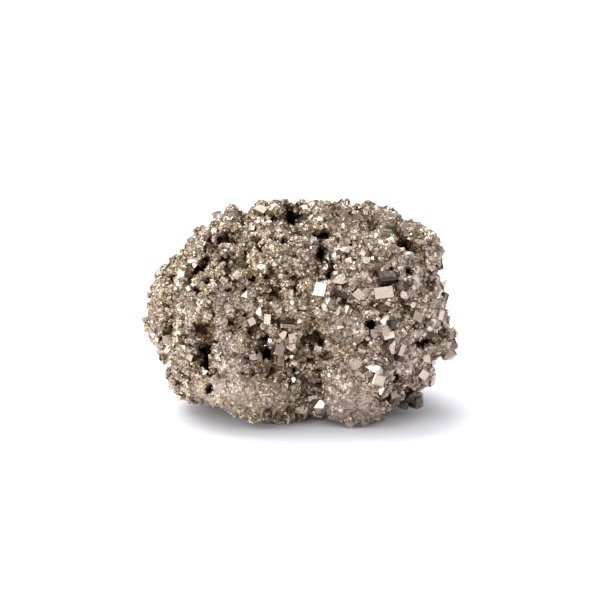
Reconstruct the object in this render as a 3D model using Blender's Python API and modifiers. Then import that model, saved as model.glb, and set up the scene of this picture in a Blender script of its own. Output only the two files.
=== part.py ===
"""A pyrite specimen: one intergrown lump, 70 mm wide, with pits, crevices and fused crystals.

Metres, +Z up. The lump lies on a small flat resting face at z = 0, centred on X and Y. Its widest
side runs along X, and its druse front faces -Y. It grew as one mass, so it is one closed solid:
rounded lobes are remeshed into one skin and roughened, pits and crevices are cut into it, and
cubes, slabs and pyritohedra are fused onto it.
"""

import math
import random
from typing import NamedTuple

import bmesh
import bpy
from mathutils import Euler, Matrix, Vector, noise
from mathutils.bvhtree import BVHTree

MM = 0.001
NAME = "pyrite_cluster"

# Skin of the lump, in millimetres.
BLEND_VOXEL = 0.9
BLEND_SMOOTHING = 2
SKIN_VOXEL = 0.9
SKIN_TRIANGLES = 3300
FOOT_BLOCK = 120.0
FOOT_LEVEL = 0.6
PIT_ROUGHNESS, PIT_GRAIN = 0.35, 1.7
LARGE_PIT = 2.5

# The front is charted in perspective from a point in front of and a little above the lump.
CHART_TILT = math.radians(12.0)
CHART_REACH = 370.0
CHART_MIDDLE = Vector((0.0, 0.0, 25.1))

# Crystals spread over the rest of the skin: those past EAST_FROM stand closer and larger.
SEED = 7
SCATTERED_CRYSTALS = 75
SCATTER_APART = 4.2
SCATTER_FLOOR = 2.5
EAST_FROM = 2.0
EAST_SIZES, WEST_SIZES = (2.4, 3.8), (1.8, 2.8)
WEST_SHARE = 0.45
SCATTER_STRETCH = (0.8, 1.2)
SCATTER_SINK = 0.3
PYRITOHEDRON_EVERY = 9
PYRITOHEDRON_FACE = 0.46

PYRITE_COLOUR = (0.42, 0.35, 0.27, 1.0)
PYRITE_ROUGHNESS = 0.32


class Lobe(NamedTuple):
    """One rounded mass of the lump: centre and half sizes in millimetres, roll about Y in degrees."""

    name: str
    centre: tuple
    radii: tuple
    roll: float = 0.0


class Relief(NamedTuple):
    """A roughness of the skin: texture kind, its spacing and height in millimetres.

    Level is the texture's value that leaves the skin where it is. Borders tells a cell texture to
    rise from the borders of its cells, which leaves crevices.
    """

    name: str
    kind: str
    spacing: float
    height: float
    level: float = 0.5
    borders: bool = False


class Mark(NamedTuple):
    """A pit on the charted front: chart place, half sizes across, up and in, and roll in degrees."""

    name: str
    place: tuple
    radii: tuple
    roll: float = 0.0


class Crystal(NamedTuple):
    """A crystal on the charted front: chart place, sides in millimetres and turn in degrees.

    The turn is (pitch, roll, yaw): at (0, 0, 0) a face of the crystal looks straight out of the front.
    Rise is how far its centre stands off the skin, as a share of its depth.
    """

    name: str
    place: tuple
    sides: tuple
    turn: tuple
    rise: float = -0.15
    form: str = "block"


LOBES = (
    Lobe("core", (0.5, 0.0, 22.5), (29.0, 19.5, 20.5)),
    # the west side, from the shoulder down to the foot
    Lobe("west_shoulder", (-19.0, 2.0, 29.0), (11.0, 13.0, 9.6), 10.0),
    Lobe("north_west_knob", (-15.2, 1.0, 41.2), (4.0, 6.2, 4.8)),
    Lobe("north_west_slope", (-20.3, 0.0, 36.3), (5.2, 6.5, 4.4), -40.0),
    Lobe("west_cheek_upper", (-27.4, 1.0, 26.9), (6.9, 11.0, 6.5)),
    Lobe("west_cheek_lower", (-25.6, 0.0, 18.6), (7.8, 12.0, 9.6)),
    Lobe("west_nub", (-31.2, -1.0, 21.0), (3.8, 6.0, 4.0)),
    Lobe("south_west_lobe", (-22.5, -2.0, 9.3), (8.0, 10.5, 6.8), -10.0),
    # the crown
    Lobe("north_knob", (-6.3, 0.0, 42.6), (5.2, 6.5, 5.2)),
    Lobe("crown_saddle", (-10.4, 1.0, 38.6), (4.5, 7.0, 4.0)),
    Lobe("crown_ridge", (8.6, 1.0, 40.1), (13.5, 11.0, 7.2), 3.0),
    Lobe("crown_east", (17.3, 0.0, 37.7), (7.0, 8.5, 4.8), 20.0),
    # the east side
    Lobe("east_brow", (25.5, 0.0, 35.9), (6.7, 9.5, 5.5), 25.0),
    Lobe("east_flank", (26.8, 1.0, 23.4), (6.8, 11.5, 8.6)),
    Lobe("east_nub", (31.9, -1.0, 16.2), (3.9, 6.0, 3.6)),
    Lobe("east_hip", (27.2, -1.0, 18.4), (6.0, 9.0, 5.3)),
    Lobe("south_east_flank", (24.4, -2.0, 9.8), (5.6, 9.0, 7.2)),
    Lobe("south_east_toe", (22.6, -4.0, 5.0), (4.6, 6.0, 4.2)),
    # the front
    Lobe("front_west_dome", (-14.5, -12.0, 27.5), (13.0, 9.0, 12.5)),
    Lobe("front_west_low", (-20.0, -11.0, 16.0), (8.0, 7.5, 8.0)),
    Lobe("front_centre_dome", (-5.0, -10.5, 34.5), (9.5, 8.5, 8.5)),
    Lobe("front_bridge", (2.5, -12.0, 27.0), (8.0, 8.5, 8.0)),
    Lobe("front_slab", (-12.0, -13.5, 10.2), (12.5, 9.5, 7.0), 8.0),
    Lobe("front_boss", (11.6, -14.0, 11.4), (8.2, 9.5, 9.6)),
    Lobe("cluster_high", (14.8, -8.5, 33.2), (11.5, 10.0, 9.5)),
    Lobe("cluster_low", (19.4, -10.0, 21.0), (10.0, 10.5, 10.0)),
    # the feet
    Lobe("east_foot", (13.6, -8.0, 5.0), (8.2, 9.5, 6.2)),
    Lobe("west_foot", (-4.0, -8.0, 5.8), (8.0, 9.5, 6.6)),
    Lobe("foot_bridge", (4.6, -8.0, 7.0), (7.0, 8.5, 6.0)),
    Lobe("heel", (0.5, 8.0, 5.6), (17.0, 10.0, 7.0)),
    # the back
    Lobe("back_west_dome", (-14.0, 12.0, 28.0), (13.0, 10.5, 12.5)),
    Lobe("back_east_dome", (11.0, 13.0, 31.0), (13.0, 10.5, 11.0), -10.0),
    Lobe("back_east_low", (19.0, 12.0, 15.5), (10.5, 10.0, 10.5)),
    Lobe("back_middle_low", (-3.0, 15.0, 13.5), (13.0, 8.5, 10.0)),
    Lobe("back_west_low", (-21.0, 9.5, 13.0), (8.5, 9.0, 9.0)),
    Lobe("back_crown", (-1.0, 10.0, 38.0), (8.5, 8.0, 5.6)),
    Lobe("back_west_knob", (-24.0, 11.0, 24.0), (5.5, 5.5, 5.0)),
    Lobe("back_high_knob", (3.0, 17.0, 36.4), (6.0, 5.0, 5.0), 20.0),
    Lobe("back_middle_knob", (-3.0, 19.5, 25.0), (7.0, 4.6, 5.0), -25.0),
    Lobe("back_east_knob", (22.0, 14.0, 25.5), (6.0, 6.0, 5.5)),
    Lobe("back_low_knob", (9.0, 18.5, 11.0), (6.0, 5.0, 6.0), 30.0),
    Lobe("east_shoulder_knob", (24.4, 8.0, 31.0), (4.6, 6.0, 4.8)),
)

RELIEFS = (
    Relief("swells", "CLOUDS", 8.5, 5.0),
    Relief("knobs", "VORONOI", 7.0, 3.2, level=0.22, borders=True),
    Relief("druse", "VORONOI", 3.2, -1.4, level=0.55),
)

FRONT_PITS = (
    Mark("crown_hollow", (-1.8, 18.2), (3.0, 2.0, 2.6)),
    Mark("knob_pit", (-5.6, 18.0), (0.9, 0.8, 1.4)),
    Mark("saddle_notch", (-12.4, 17.8), (1.2, 2.2, 2.6), 15.0),
    Mark("ridge_crevice", (5.1, 14.6), (1.5, 1.5, 2.4)),
    Mark("cluster_crevice", (4.8, 10.6), (0.9, 3.4, 2.8), -4.0),
    Mark("cluster_crevice_low", (6.8, 6.6), (1.0, 2.2, 2.2), 12.0),
    Mark("brow_slot", (23.8, 11.6), (3.4, 1.1, 3.0), 24.0),
    Mark("brow_undercut", (30.0, 6.6), (1.6, 1.0, 2.0)),
    Mark("high_pit", (11.4, 12.6), (0.9, 0.8, 1.2)),
    Mark("flank_pit", (24.4, 6.2), (1.1, 1.0, 1.6)),
    Mark("flank_pit_low", (29.4, 4.2), (0.8, 1.0, 1.4)),
    Mark("cluster_pit", (15.8, -5.6), (1.5, 1.5, 2.4)),
    Mark("nub_slot", (28.0, -9.6), (3.2, 1.0, 2.6), 6.0),
    Mark("nub_undercut", (32.0, -13.6), (1.9, 1.1, 2.2)),
    Mark("window_pit", (-8.4, -9.0), (1.4, 1.2, 2.6)),
    Mark("window_pit_low", (-7.6, -12.2), (1.7, 1.6, 3.0)),
    Mark("slab_crevice", (-5.0, -16.0), (4.0, 1.0, 1.8), 18.0),
    Mark("west_pit", (-21.2, -12.6), (1.3, 3.0, 3.0), -8.0),
    Mark("west_hollow", (-22.4, -6.6), (2.1, 2.0, 1.8)),
    Mark("west_crevice", (-21.8, 8.4), (3.6, 1.0, 2.2), -38.0),
    Mark("west_crevice_high", (-21.4, 10.2), (0.9, 2.6, 2.2), 10.0),
    Mark("toe_crevice", (-20.0, -20.0), (0.9, 2.0, 1.6), -15.0),
    Mark("trough", (1.8, -14.0), (2.6, 6.0, 1.5), -3.0),
)

FRONT_CRYSTALS = (
    Crystal("great_cube", (19.2, 2.0), (4.2, 4.0, 3.8), (14.0, 4.0, -14.0)),
    Crystal("great_neighbour", (22.6, 2.6), (3.0, 3.2, 3.2), (8.0, 12.0, 34.0)),
    Crystal("bright_cube", (4.6, 2.2), (3.0, 3.4, 3.0), (-12.0, 8.0, 10.0)),
    Crystal("striped_slab", (8.8, 4.9), (3.6, 2.4, 3.0), (10.0, 10.0, -18.0)),
    Crystal("high_slab", (9.8, 10.9), (2.2, 1.6, 2.0), (20.0, -14.0, 12.0)),
    Crystal("cluster_rise", (14.2, 8.9), (2.8, 2.4, 2.4), (26.0, 20.0, 20.0), form="pyritohedron"),
    Crystal("cluster_fall", (14.6, 6.6), (2.4, 2.4, 2.4), (-16.0, 30.0, -30.0)),
    Crystal("slope_cube", (19.4, -5.3), (2.8, 2.8, 2.8), (-18.0, 12.0, 32.0)),
    Crystal("step_slab", (20.0, -7.8), (2.6, 2.0, 2.4), (6.0, -6.0, -12.0)),
    Crystal("blue_twin", (21.4, -10.2), (2.0, 3.4, 2.4), (4.0, 16.0, -30.0)),
    Crystal("blue_twin_low", (23.4, -11.6), (2.0, 3.0, 2.4), (8.0, 24.0, 22.0)),
    Crystal("white_step", (16.4, -15.4), (3.2, 2.6, 2.6), (-10.0, -16.0, 16.0)),
    Crystal("white_step_low", (17.4, -17.2), (2.2, 2.4, 2.4), (12.0, 10.0, -32.0)),
    Crystal("flat_grey", (12.0, -14.6), (3.0, 2.8, 2.6), (4.0, 24.0, 6.0)),
    Crystal("east_block", (18.2, -20.2), (2.6, 2.4, 2.4), (-14.0, 20.0, 28.0)),
    Crystal("east_block_far", (22.4, -20.4), (2.4, 2.4, 2.6), (16.0, 6.0, -24.0)),
    Crystal("corner_block", (25.2, -21.8), (2.8, 2.6, 2.8), (-8.0, 30.0, 20.0)),
    Crystal("trough_white", (4.8, -23.8), (2.6, 2.2, 2.4), (-14.0, -18.0, 20.0)),
    Crystal("trough_grey", (0.2, -24.6), (2.8, 1.9, 2.4), (6.0, 10.0, -16.0)),
    Crystal("trough_bar", (2.8, -21.8), (2.6, 1.4, 2.0), (10.0, -4.0, 8.0)),
    Crystal("window_cube", (-5.0, -11.2), (2.6, 3.0, 2.8), (-6.0, 20.0, 24.0), form="pyritohedron"),
    Crystal("long_crystal", (-2.8, -5.8), (3.6, 1.5, 2.4), (-10.0, 4.0, 10.0)),
    Crystal("bridge_pair", (-3.6, -7.8), (2.0, 2.4, 2.2), (8.0, 18.0, 28.0)),
    Crystal("bridge_pair_east", (-1.6, -8.4), (2.0, 2.4, 2.2), (-8.0, -12.0, -28.0)),
    Crystal("dome_white", (-9.0, -3.0), (1.8, 2.4, 2.0), (-10.0, -20.0, 24.0)),
    Crystal("dome_brown", (-6.8, -4.2), (1.9, 2.4, 2.0), (6.0, 8.0, -28.0)),
    Crystal("west_white", (-21.2, -16.4), (1.9, 1.7, 1.8), (-16.0, 24.0, 20.0)),
    Crystal("low_square", (-10.8, -12.6), (2.0, 1.9, 1.8), (4.0, -10.0, 20.0)),
    Crystal("east_edge", (29.6, 1.8), (2.2, 3.0, 2.4), (6.0, 16.0, 40.0)),
    Crystal("brow_corner", (28.6, 7.0), (2.4, 2.0, 2.2), (18.0, 30.0, 18.0)),
    Crystal("flank_face", (25.6, -4.0), (2.6, 2.4, 2.4), (-14.0, 26.0, 34.0)),
    Crystal("flank_low", (27.0, -16.4), (2.4, 2.2, 2.4), (12.0, 34.0, 26.0)),
    Crystal("cluster_middle", (12.8, 1.6), (2.4, 2.2, 2.2), (20.0, 40.0, 14.0)),
    Crystal("cluster_east", (24.6, -0.8), (2.6, 2.2, 2.4), (10.0, 14.0, -30.0), form="pyritohedron"),
    Crystal("boss_corner", (8.0, -8.4), (2.2, 2.0, 2.0), (-16.0, 44.0, 18.0)),
)


def new_collection(name, hidden=False):
    """A collection linked to the scene."""
    collection = bpy.data.collections.new(name)
    collection.hide_render = hidden
    bpy.context.scene.collection.children.link(collection)
    return collection


def object_from(bm, name, collection):
    """A mesh object made from a bmesh, which it frees."""
    mesh = bpy.data.meshes.new(name)
    bm.to_mesh(mesh)
    bm.free()
    obj = bpy.data.objects.new(name, mesh)
    collection.objects.link(obj)
    return obj


def as_helper(obj):
    """Marks an object as a tool that shapes the lump and is no part of it."""
    obj.hide_render = True
    obj.display_type = "WIRE"
    return obj


def applied(obj):
    """Replaces an object's mesh by its evaluated one, with its modifiers used up."""
    graph = bpy.context.evaluated_depsgraph_get()
    mesh = bpy.data.meshes.new_from_object(obj.evaluated_get(graph))
    obj.modifiers.clear()
    obj.data = mesh
    return obj


def tree_of(obj):
    """A tree for casting rays at an object's own mesh."""
    bm = bmesh.new()
    bm.from_mesh(obj.data)
    tree = BVHTree.FromBMesh(bm)
    bm.free()
    return tree


def lobes_object(collection):
    """All the lobes as one mesh of overlapping ellipsoids."""
    bm = bmesh.new()
    for lobe in LOBES:
        turn = Matrix.Rotation(math.radians(lobe.roll), 4, "Y")
        place = Matrix.Translation(Vector(lobe.centre) * MM)
        shape = Matrix.Diagonal((*(r * MM for r in lobe.radii), 1.0))
        bmesh.ops.create_icosphere(bm, subdivisions=4, radius=1.0, matrix=place @ turn @ shape)
    return object_from(bm, NAME, collection)


def add_remesh(obj, name, voxel_mm):
    """A voxel remesh, which joins what overlaps into one skin."""
    remesh = obj.modifiers.new(name, "REMESH")
    remesh.mode = "VOXEL"
    remesh.voxel_size = voxel_mm * MM


def add_relief(obj, relief):
    """Displaces the skin along its normals by a procedural texture."""
    texture = bpy.data.textures.new(relief.name, relief.kind)
    texture.noise_scale = relief.spacing * MM
    if relief.borders:
        texture.weight_1, texture.weight_2 = -1.0, 1.0
    shift = obj.modifiers.new(relief.name, "DISPLACE")
    shift.texture = texture
    shift.texture_coords = "LOCAL"
    shift.mid_level = relief.level
    shift.strength = relief.height * MM


def add_thinning(obj, triangles):
    """Collapses the skin to about this many triangles, which leaves it faceted."""
    graph = bpy.context.evaluated_depsgraph_get()
    mesh = obj.evaluated_get(graph).to_mesh()
    count = sum(len(polygon.vertices) - 2 for polygon in mesh.polygons)
    thinning = obj.modifiers.new("facets", "DECIMATE")
    thinning.ratio = triangles / count


def foot_block(collection):
    """A block under the lump, which cuts its underside off flat at the resting face."""
    bm = bmesh.new()
    shape = Matrix.Diagonal((FOOT_BLOCK * MM, FOOT_BLOCK * MM, FOOT_BLOCK * MM, 1.0))
    place = Matrix.Translation((0.0, 0.0, (FOOT_LEVEL - FOOT_BLOCK / 2.0) * MM))
    bmesh.ops.create_cube(bm, size=1.0, matrix=place @ shape)
    return as_helper(object_from(bm, "foot_block", collection))


def skin_object(collection):
    """The lump's skin: lobes blended, roughened, faceted and stood on its resting face."""
    skin = lobes_object(collection)
    add_remesh(skin, "blend", BLEND_VOXEL)
    smoothing = skin.modifiers.new("soften", "SMOOTH")
    smoothing.iterations = BLEND_SMOOTHING
    for relief in RELIEFS:
        add_relief(skin, relief)
    add_remesh(skin, "skin", SKIN_VOXEL)
    add_thinning(skin, SKIN_TRIANGLES)
    applied(skin)
    keep_one_body(skin)
    return skin


def chart_axes():
    """The chart's directions: to the right, up, and into the lump."""
    right = Vector((1.0, 0.0, 0.0))
    up = Vector((0.0, math.sin(CHART_TILT), math.cos(CHART_TILT)))
    inwards = Vector((0.0, math.cos(CHART_TILT), -math.sin(CHART_TILT)))
    return right, up, inwards


def chart_hit(tree, place):
    """The point of the skin seen at a place on the chart, or the nearest one, and its normal."""
    right, up, inwards = chart_axes()
    eye = CHART_MIDDLE - inwards * CHART_REACH
    target = CHART_MIDDLE + right * place[0] + up * place[1]
    point, normal, _, _ = tree.ray_cast(eye * MM, (target - eye).normalized())
    if point is None:
        point, normal, _, _ = tree.find_nearest(target * MM)
    return point, normal


def chart_facing():
    """A turn that takes X to the chart's right, Y into the lump and Z up the chart."""
    right, up, inwards = chart_axes()
    return Matrix((right, inwards, up)).transposed().to_4x4()


def pit_object(mark, tree, collection):
    """A rounded cutter for one pit, sunk into the skin along the chart's line of sight."""
    point, _ = chart_hit(tree, mark.place)
    across, high, deep = mark.radii
    shape = Matrix.Diagonal((across * MM, deep * MM, high * MM, 1.0))
    turn = Matrix.Rotation(math.radians(mark.roll), 4, "Y")
    bm = bmesh.new()
    bmesh.ops.create_icosphere(bm, subdivisions=2 if max(across, high) > LARGE_PIT else 1, radius=1.0)
    for vertex in bm.verts:
        vertex.co *= 1.0 + PIT_ROUGHNESS * noise.noise(vertex.co * PIT_GRAIN + point / MM)
    bm.transform(Matrix.Translation(point) @ chart_facing() @ turn @ shape)
    return as_helper(object_from(bm, "pit_" + mark.name, collection))


def block_mesh():
    """A unit cube."""
    bm = bmesh.new()
    bmesh.ops.create_cube(bm, size=1.0)
    return bm


def pare(bm, normal, distance):
    """Cuts away what lies beyond a plane and closes the cut with one flat face."""
    everything = bm.verts[:] + bm.edges[:] + bm.faces[:]
    cut = bmesh.ops.bisect_plane(
        bm, geom=everything, plane_co=normal * distance, plane_no=normal, clear_outer=True
    )
    rim = [item for item in cut["geom_cut"] if isinstance(item, bmesh.types.BMEdge)]
    if rim:
        bmesh.ops.contextual_create(bm, geom=rim)


def pyritohedron_mesh():
    """A unit cube pared down to the twelve five-sided faces of a pyritohedron."""
    bm = block_mesh()
    for axis in range(3):
        for first in (-1, 1):
            for second in (-1, 1):
                normal = Vector((0.0, 0.0, 0.0))
                normal[axis] = 2.0 * first
                normal[(axis + 1) % 3] = 1.0 * second
                pare(bm, normal.normalized(), PYRITOHEDRON_FACE)
    return bm


FORMS = {"block": block_mesh, "pyritohedron": pyritohedron_mesh}


def crystal_object(name, form, matrix, collection):
    """One crystal of a form, placed by a matrix."""
    bm = FORMS[form]()
    bm.transform(matrix)
    return as_helper(object_from(bm, name, collection))


def front_crystal(crystal, tree, collection):
    """A named crystal of the front, half sunk in the skin."""
    point, normal = chart_hit(tree, crystal.place)
    pitch, roll, yaw = (math.radians(angle) for angle in crystal.turn)
    width, height, depth = (side * MM for side in crystal.sides)
    place = Matrix.Translation(point + normal * depth * crystal.rise)
    turn = Euler((pitch, roll, yaw)).to_matrix().to_4x4()
    shape = Matrix.Diagonal((width, depth, height, 1.0))
    matrix = place @ chart_facing() @ turn @ shape
    return crystal_object("crystal_" + crystal.name, crystal.form, matrix, collection)


def in_the_east(point):
    """True on the coarse side of the lump."""
    return point.x > EAST_FROM * MM


def scattered_places(skin, draw, taken):
    """Spots spread over the sides, back and top of the skin, apart from each other and from those taken."""
    faces = [face for face in skin.data.polygons if face.center.z > SCATTER_FLOOR * MM]
    weights = [face.area * (1.0 if in_the_east(face.center) else WEST_SHARE) for face in faces]
    spots = []
    while len(spots) < SCATTERED_CRYSTALS:
        face = draw.choices(faces, weights)[0]
        if all((face.center - other).length > SCATTER_APART * MM for other in taken):
            taken.append(face.center.copy())
            spots.append((face.center.copy(), face.normal.copy()))
    return spots


def scattered_crystals(skin, taken, collection):
    """Cubes and pyritohedra turned every way, over the parts of the skin with no named crystal."""
    draw = random.Random(SEED)
    for number, (centre, normal) in enumerate(scattered_places(skin, draw, taken)):
        size = draw.uniform(*(EAST_SIZES if in_the_east(centre) else WEST_SIZES)) * MM
        stretch = [draw.uniform(*SCATTER_STRETCH) for _ in range(3)]
        turn = Euler([draw.uniform(0.0, math.tau) for _ in range(3)]).to_matrix().to_4x4()
        shape = Matrix.Diagonal((*(size * side for side in stretch), 1.0))
        place = Matrix.Translation(centre - normal * size * SCATTER_SINK)
        form = "pyritohedron" if number % PYRITOHEDRON_EVERY == 0 else "block"
        crystal_object(f"crystal_{number:02d}", form, place @ turn @ shape, collection)


def add_boolean(obj, name, operation, collection):
    """Cuts or fuses a whole collection of helpers."""
    boolean = obj.modifiers.new(name, "BOOLEAN")
    boolean.operation = operation
    boolean.operand_type = "COLLECTION"
    boolean.collection = collection
    boolean.solver = "EXACT"


def shells_of(bm):
    """The faces of a bmesh, grouped into shells that meet along edges and sorted by size."""
    left = set(bm.faces)
    shells = []
    while left:
        shell, border = [], [left.pop()]
        while border:
            face = border.pop()
            shell.append(face)
            seams = [edge for edge in face.edges if len(edge.link_faces) == 2]
            neighbours = {other for edge in seams for other in edge.link_faces} & left
            left -= neighbours
            border.extend(neighbours)
        shells.append(shell)
    return sorted(shells, key=len)


def keep_one_body(obj):
    """Deletes every shell but the largest, so that no hollow is sealed in and no chip floats."""
    bm = bmesh.new()
    bm.from_mesh(obj.data)
    for shell in shells_of(bm)[:-1]:
        bmesh.ops.delete(bm, geom=shell, context="FACES")
    bm.to_mesh(obj.data)
    bm.free()


def stand_at_origin(obj):
    """Moves the mesh so that its box is centred on X and Y and starts at z = 0."""
    lows, highs = box_of(obj)
    shift = Vector((-(lows.x + highs.x) / 2.0, -(lows.y + highs.y) / 2.0, -lows.z))
    obj.data.transform(Matrix.Translation(shift))


def box_of(obj):
    """The lowest and highest corners of an object's mesh."""
    lows = Vector(min(vertex.co[axis] for vertex in obj.data.vertices) for axis in range(3))
    highs = Vector(max(vertex.co[axis] for vertex in obj.data.vertices) for axis in range(3))
    return lows, highs


def pyrite_material():
    """Brassy grey metal."""
    material = bpy.data.materials.new("pyrite")
    material.use_nodes = True
    shader = material.node_tree.nodes["Principled BSDF"]
    shader.inputs["Base Color"].default_value = PYRITE_COLOUR
    shader.inputs["Roughness"].default_value = PYRITE_ROUGHNESS
    shader.inputs["Metallic"].default_value = 1.0
    material.diffuse_color = PYRITE_COLOUR
    return material


def main():
    """Builds the specimen in an empty scene."""
    for obj in list(bpy.data.objects):
        bpy.data.objects.remove(obj)
    specimen = new_collection("pyrite_specimen")
    pits = new_collection("pit_cutters", hidden=True)
    crystals = new_collection("fused_crystals", hidden=True)
    skin = skin_object(specimen)
    tree = tree_of(skin)
    for mark in FRONT_PITS:
        pit_object(mark, tree, pits)
    foot_block(pits)
    taken = []
    for crystal in FRONT_CRYSTALS:
        front_crystal(crystal, tree, crystals)
        taken.append(chart_hit(tree, crystal.place)[0])
    scattered_crystals(skin, taken, crystals)
    add_boolean(skin, "crystals", "UNION", crystals)
    add_boolean(skin, "pits", "DIFFERENCE", pits)
    applied(skin)
    keep_one_body(skin)
    stand_at_origin(skin)
    skin.data.materials.clear()
    skin.data.materials.append(pyrite_material())


main()
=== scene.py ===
"""Dresses the pyrite specimen: a creviced mass, a druse of fine grains and larger crystals on it.

Everything is in metres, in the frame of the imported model. Sizes are named in millimetres and turned
into metres where they are used. The solid of the lump carries every piece: the mass is a finer copy
of it, and each grain and crystal is grown where a point of that mass is.
"""

import logging
import math
import random
from collections.abc import Callable, Iterable, Sequence
from dataclasses import dataclass, field, replace
from enum import Enum
from functools import partial

import bmesh
import bpy
import numpy as np
from mathutils import Matrix, Vector, noise
from mathutils.bvhtree import BVHTree
from mathutils.kdtree import KDTree


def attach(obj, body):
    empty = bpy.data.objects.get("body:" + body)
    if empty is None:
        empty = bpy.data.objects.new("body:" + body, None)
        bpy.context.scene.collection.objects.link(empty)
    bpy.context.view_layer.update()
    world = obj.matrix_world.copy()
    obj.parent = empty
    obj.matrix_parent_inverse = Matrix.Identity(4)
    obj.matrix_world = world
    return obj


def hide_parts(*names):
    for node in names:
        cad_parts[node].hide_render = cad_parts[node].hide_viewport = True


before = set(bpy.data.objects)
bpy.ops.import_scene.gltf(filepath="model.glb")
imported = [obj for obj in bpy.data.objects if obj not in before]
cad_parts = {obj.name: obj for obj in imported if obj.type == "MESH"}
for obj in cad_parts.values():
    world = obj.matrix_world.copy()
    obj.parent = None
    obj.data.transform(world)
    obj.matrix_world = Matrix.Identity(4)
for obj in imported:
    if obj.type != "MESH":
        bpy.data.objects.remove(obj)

MM = 0.001
NODE = "pyrite_cluster"
BODY = "root"
NOISE_SEED = 2  # fixes the offsets of noise_vector, which otherwise change with the clock
GROUND_GAP = 0.02  # how far grains and crystals stay above the resting face, in millimetres
BAND_STRIDE = 10.0  # how far the growth bands of the dimmest and brightest crystals are apart
LOG = logging.getLogger("pyrite")

Pair = tuple[float, float]
Triple = tuple[float, float, float]


def smooth_step(low: float, high: float, value: np.ndarray) -> np.ndarray:
    """Rises smoothly from 0 at low to 1 at high."""
    share = np.clip((value - low) / (high - low), 0.0, 1.0)
    return share * share * (3.0 - 2.0 * share)


def clouds(points: np.ndarray, spacing: float) -> np.ndarray:
    """Cloudy noise at points in metres, from -1 to 1, with a spacing in millimetres."""
    return np.array([noise.noise(Vector(point) / (spacing * MM)) for point in points])


def drifts(points: np.ndarray, spacing: float) -> np.ndarray:
    """Cloudy noise along each axis at points in metres, with a spacing in millimetres."""
    return np.array([noise.noise_vector(Vector(point) / (spacing * MM))[:] for point in points])


# ---------------------------------------------------------------------------------------------------
# The front, and the zones of the lump


@dataclass(frozen=True)
class FrontChart:
    """A perspective chart of the front, in millimetres to the right of and above its middle.

    Args:
        tilt: how far the chart looks down, in radians.
        reach: distance from its eye to its middle.
        middle: the point of the lump at its middle.
    """

    tilt: float = math.radians(12.0)
    reach: float = 370.0
    middle: Triple = (-0.06, -0.31, 24.5)

    def axes(self) -> tuple[Vector, Vector, Vector]:
        """Works out the chart's directions.

        Returns:
            The directions to the right, up, and into the lump.
        """
        right = Vector((1.0, 0.0, 0.0))
        up = Vector((0.0, math.sin(self.tilt), math.cos(self.tilt)))
        inwards = Vector((0.0, math.cos(self.tilt), -math.sin(self.tilt)))
        return right, up, inwards

    def eye(self) -> Vector:
        """The point from which the chart is drawn, in metres."""
        return (Vector(self.middle) - self.axes()[2] * self.reach) * MM

    def target(self, across: float, height: float) -> Vector:
        """A place of the chart as a point of its plane, in metres."""
        right, up, _ = self.axes()
        return (Vector(self.middle) + right * across + up * height) * MM

    def facing(self) -> Matrix:
        """A turn that takes X to the right, Y into the lump and Z up the chart."""
        right, up, inwards = self.axes()
        return Matrix((right, inwards, up)).transposed()

    def hit(self, tree: BVHTree, place: Pair) -> Vector:
        """Finds the point of a surface that shows at a place of the chart.

        Args:
            tree: the surface.
            place: how far right of and above the chart's middle.

        Returns:
            The point; where nothing shows, the nearest one.
        """
        target = self.target(*place)
        point, _, _, _ = tree.ray_cast(self.eye(), (target - self.eye()).normalized())
        return tree.find_nearest(target)[0] if point is None else point

    def places_of(self, points: np.ndarray) -> tuple[np.ndarray, np.ndarray]:
        """Finds where points show on the chart.

        Args:
            points: points in metres.

        Returns:
            How far right and how far up each of them shows.
        """
        right, up, inwards = (np.array(axis) for axis in self.axes())
        away = points / MM - np.array(self.middle)
        scale = self.reach / (self.reach + away @ inwards)
        return away @ right * scale, away @ up * scale


@dataclass(frozen=True)
class Oval:
    """An oval of the charted front with a soft border.

    Args:
        place: centre on the chart.
        radii: half sizes across and up.
    """

    place: Pair
    radii: Pair

    def share(self, across: np.ndarray, height: np.ndarray) -> np.ndarray:
        """How far each chart place belongs to the oval, from 0 to 1."""
        off = np.hypot((across - self.place[0]) / self.radii[0], (height - self.place[1]) / self.radii[1])
        return 1.0 - smooth_step(0.75, 1.15, off)


@dataclass(frozen=True)
class Patch(Oval):
    """An oval where the druse differs from its surroundings.

    Args:
        grain: grain size there, in millimetres.
        cobble: how much of the usual cobbling it has.
        tarnish_and_shade: brown patina and painted shade added there.
        calm: the share of its grains that it lacks.
    """

    grain: float
    cobble: float = 1.0
    tarnish_and_shade: float = 0.0
    calm: float = 0.0


@dataclass(frozen=True)
class Grove(Oval):
    """An oval where larger crystals stand more or less closely than around it.

    Args:
        crowd: how closely they stand, from 0 to 1.
    """

    crowd: float


@dataclass(frozen=True)
class Cavity:
    """A hole of the charted front, sunk deeper and painted dark, as shade and patina.

    Args:
        place: centre on the chart.
        radii: half sizes across and up.
        depth: how much deeper it is sunk than the solid has it, in millimetres.
        roll: turn on the chart, in degrees, anticlockwise.
    """

    place: Pair
    radii: Pair
    depth: float = 1.2
    roll: float = 0.0

    def share(self, across: np.ndarray, height: np.ndarray, margin: float) -> np.ndarray:
        """Tells how far chart places belong to the hole.

        Args:
            across: how far right they are.
            height: how far up they are.
            margin: added to the hole's radii, in millimetres.

        Returns:
            A share from 0 to 1 for each place.
        """
        turn = math.radians(self.roll)
        radii = [radius + margin for radius in self.radii]
        right, up = across - self.place[0], height - self.place[1]
        along = right * math.cos(turn) + up * math.sin(turn)
        over = up * math.cos(turn) - right * math.sin(turn)
        return 1.0 - smooth_step(0.7, 1.15, np.hypot(along / radii[0], over / radii[1]))


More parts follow.
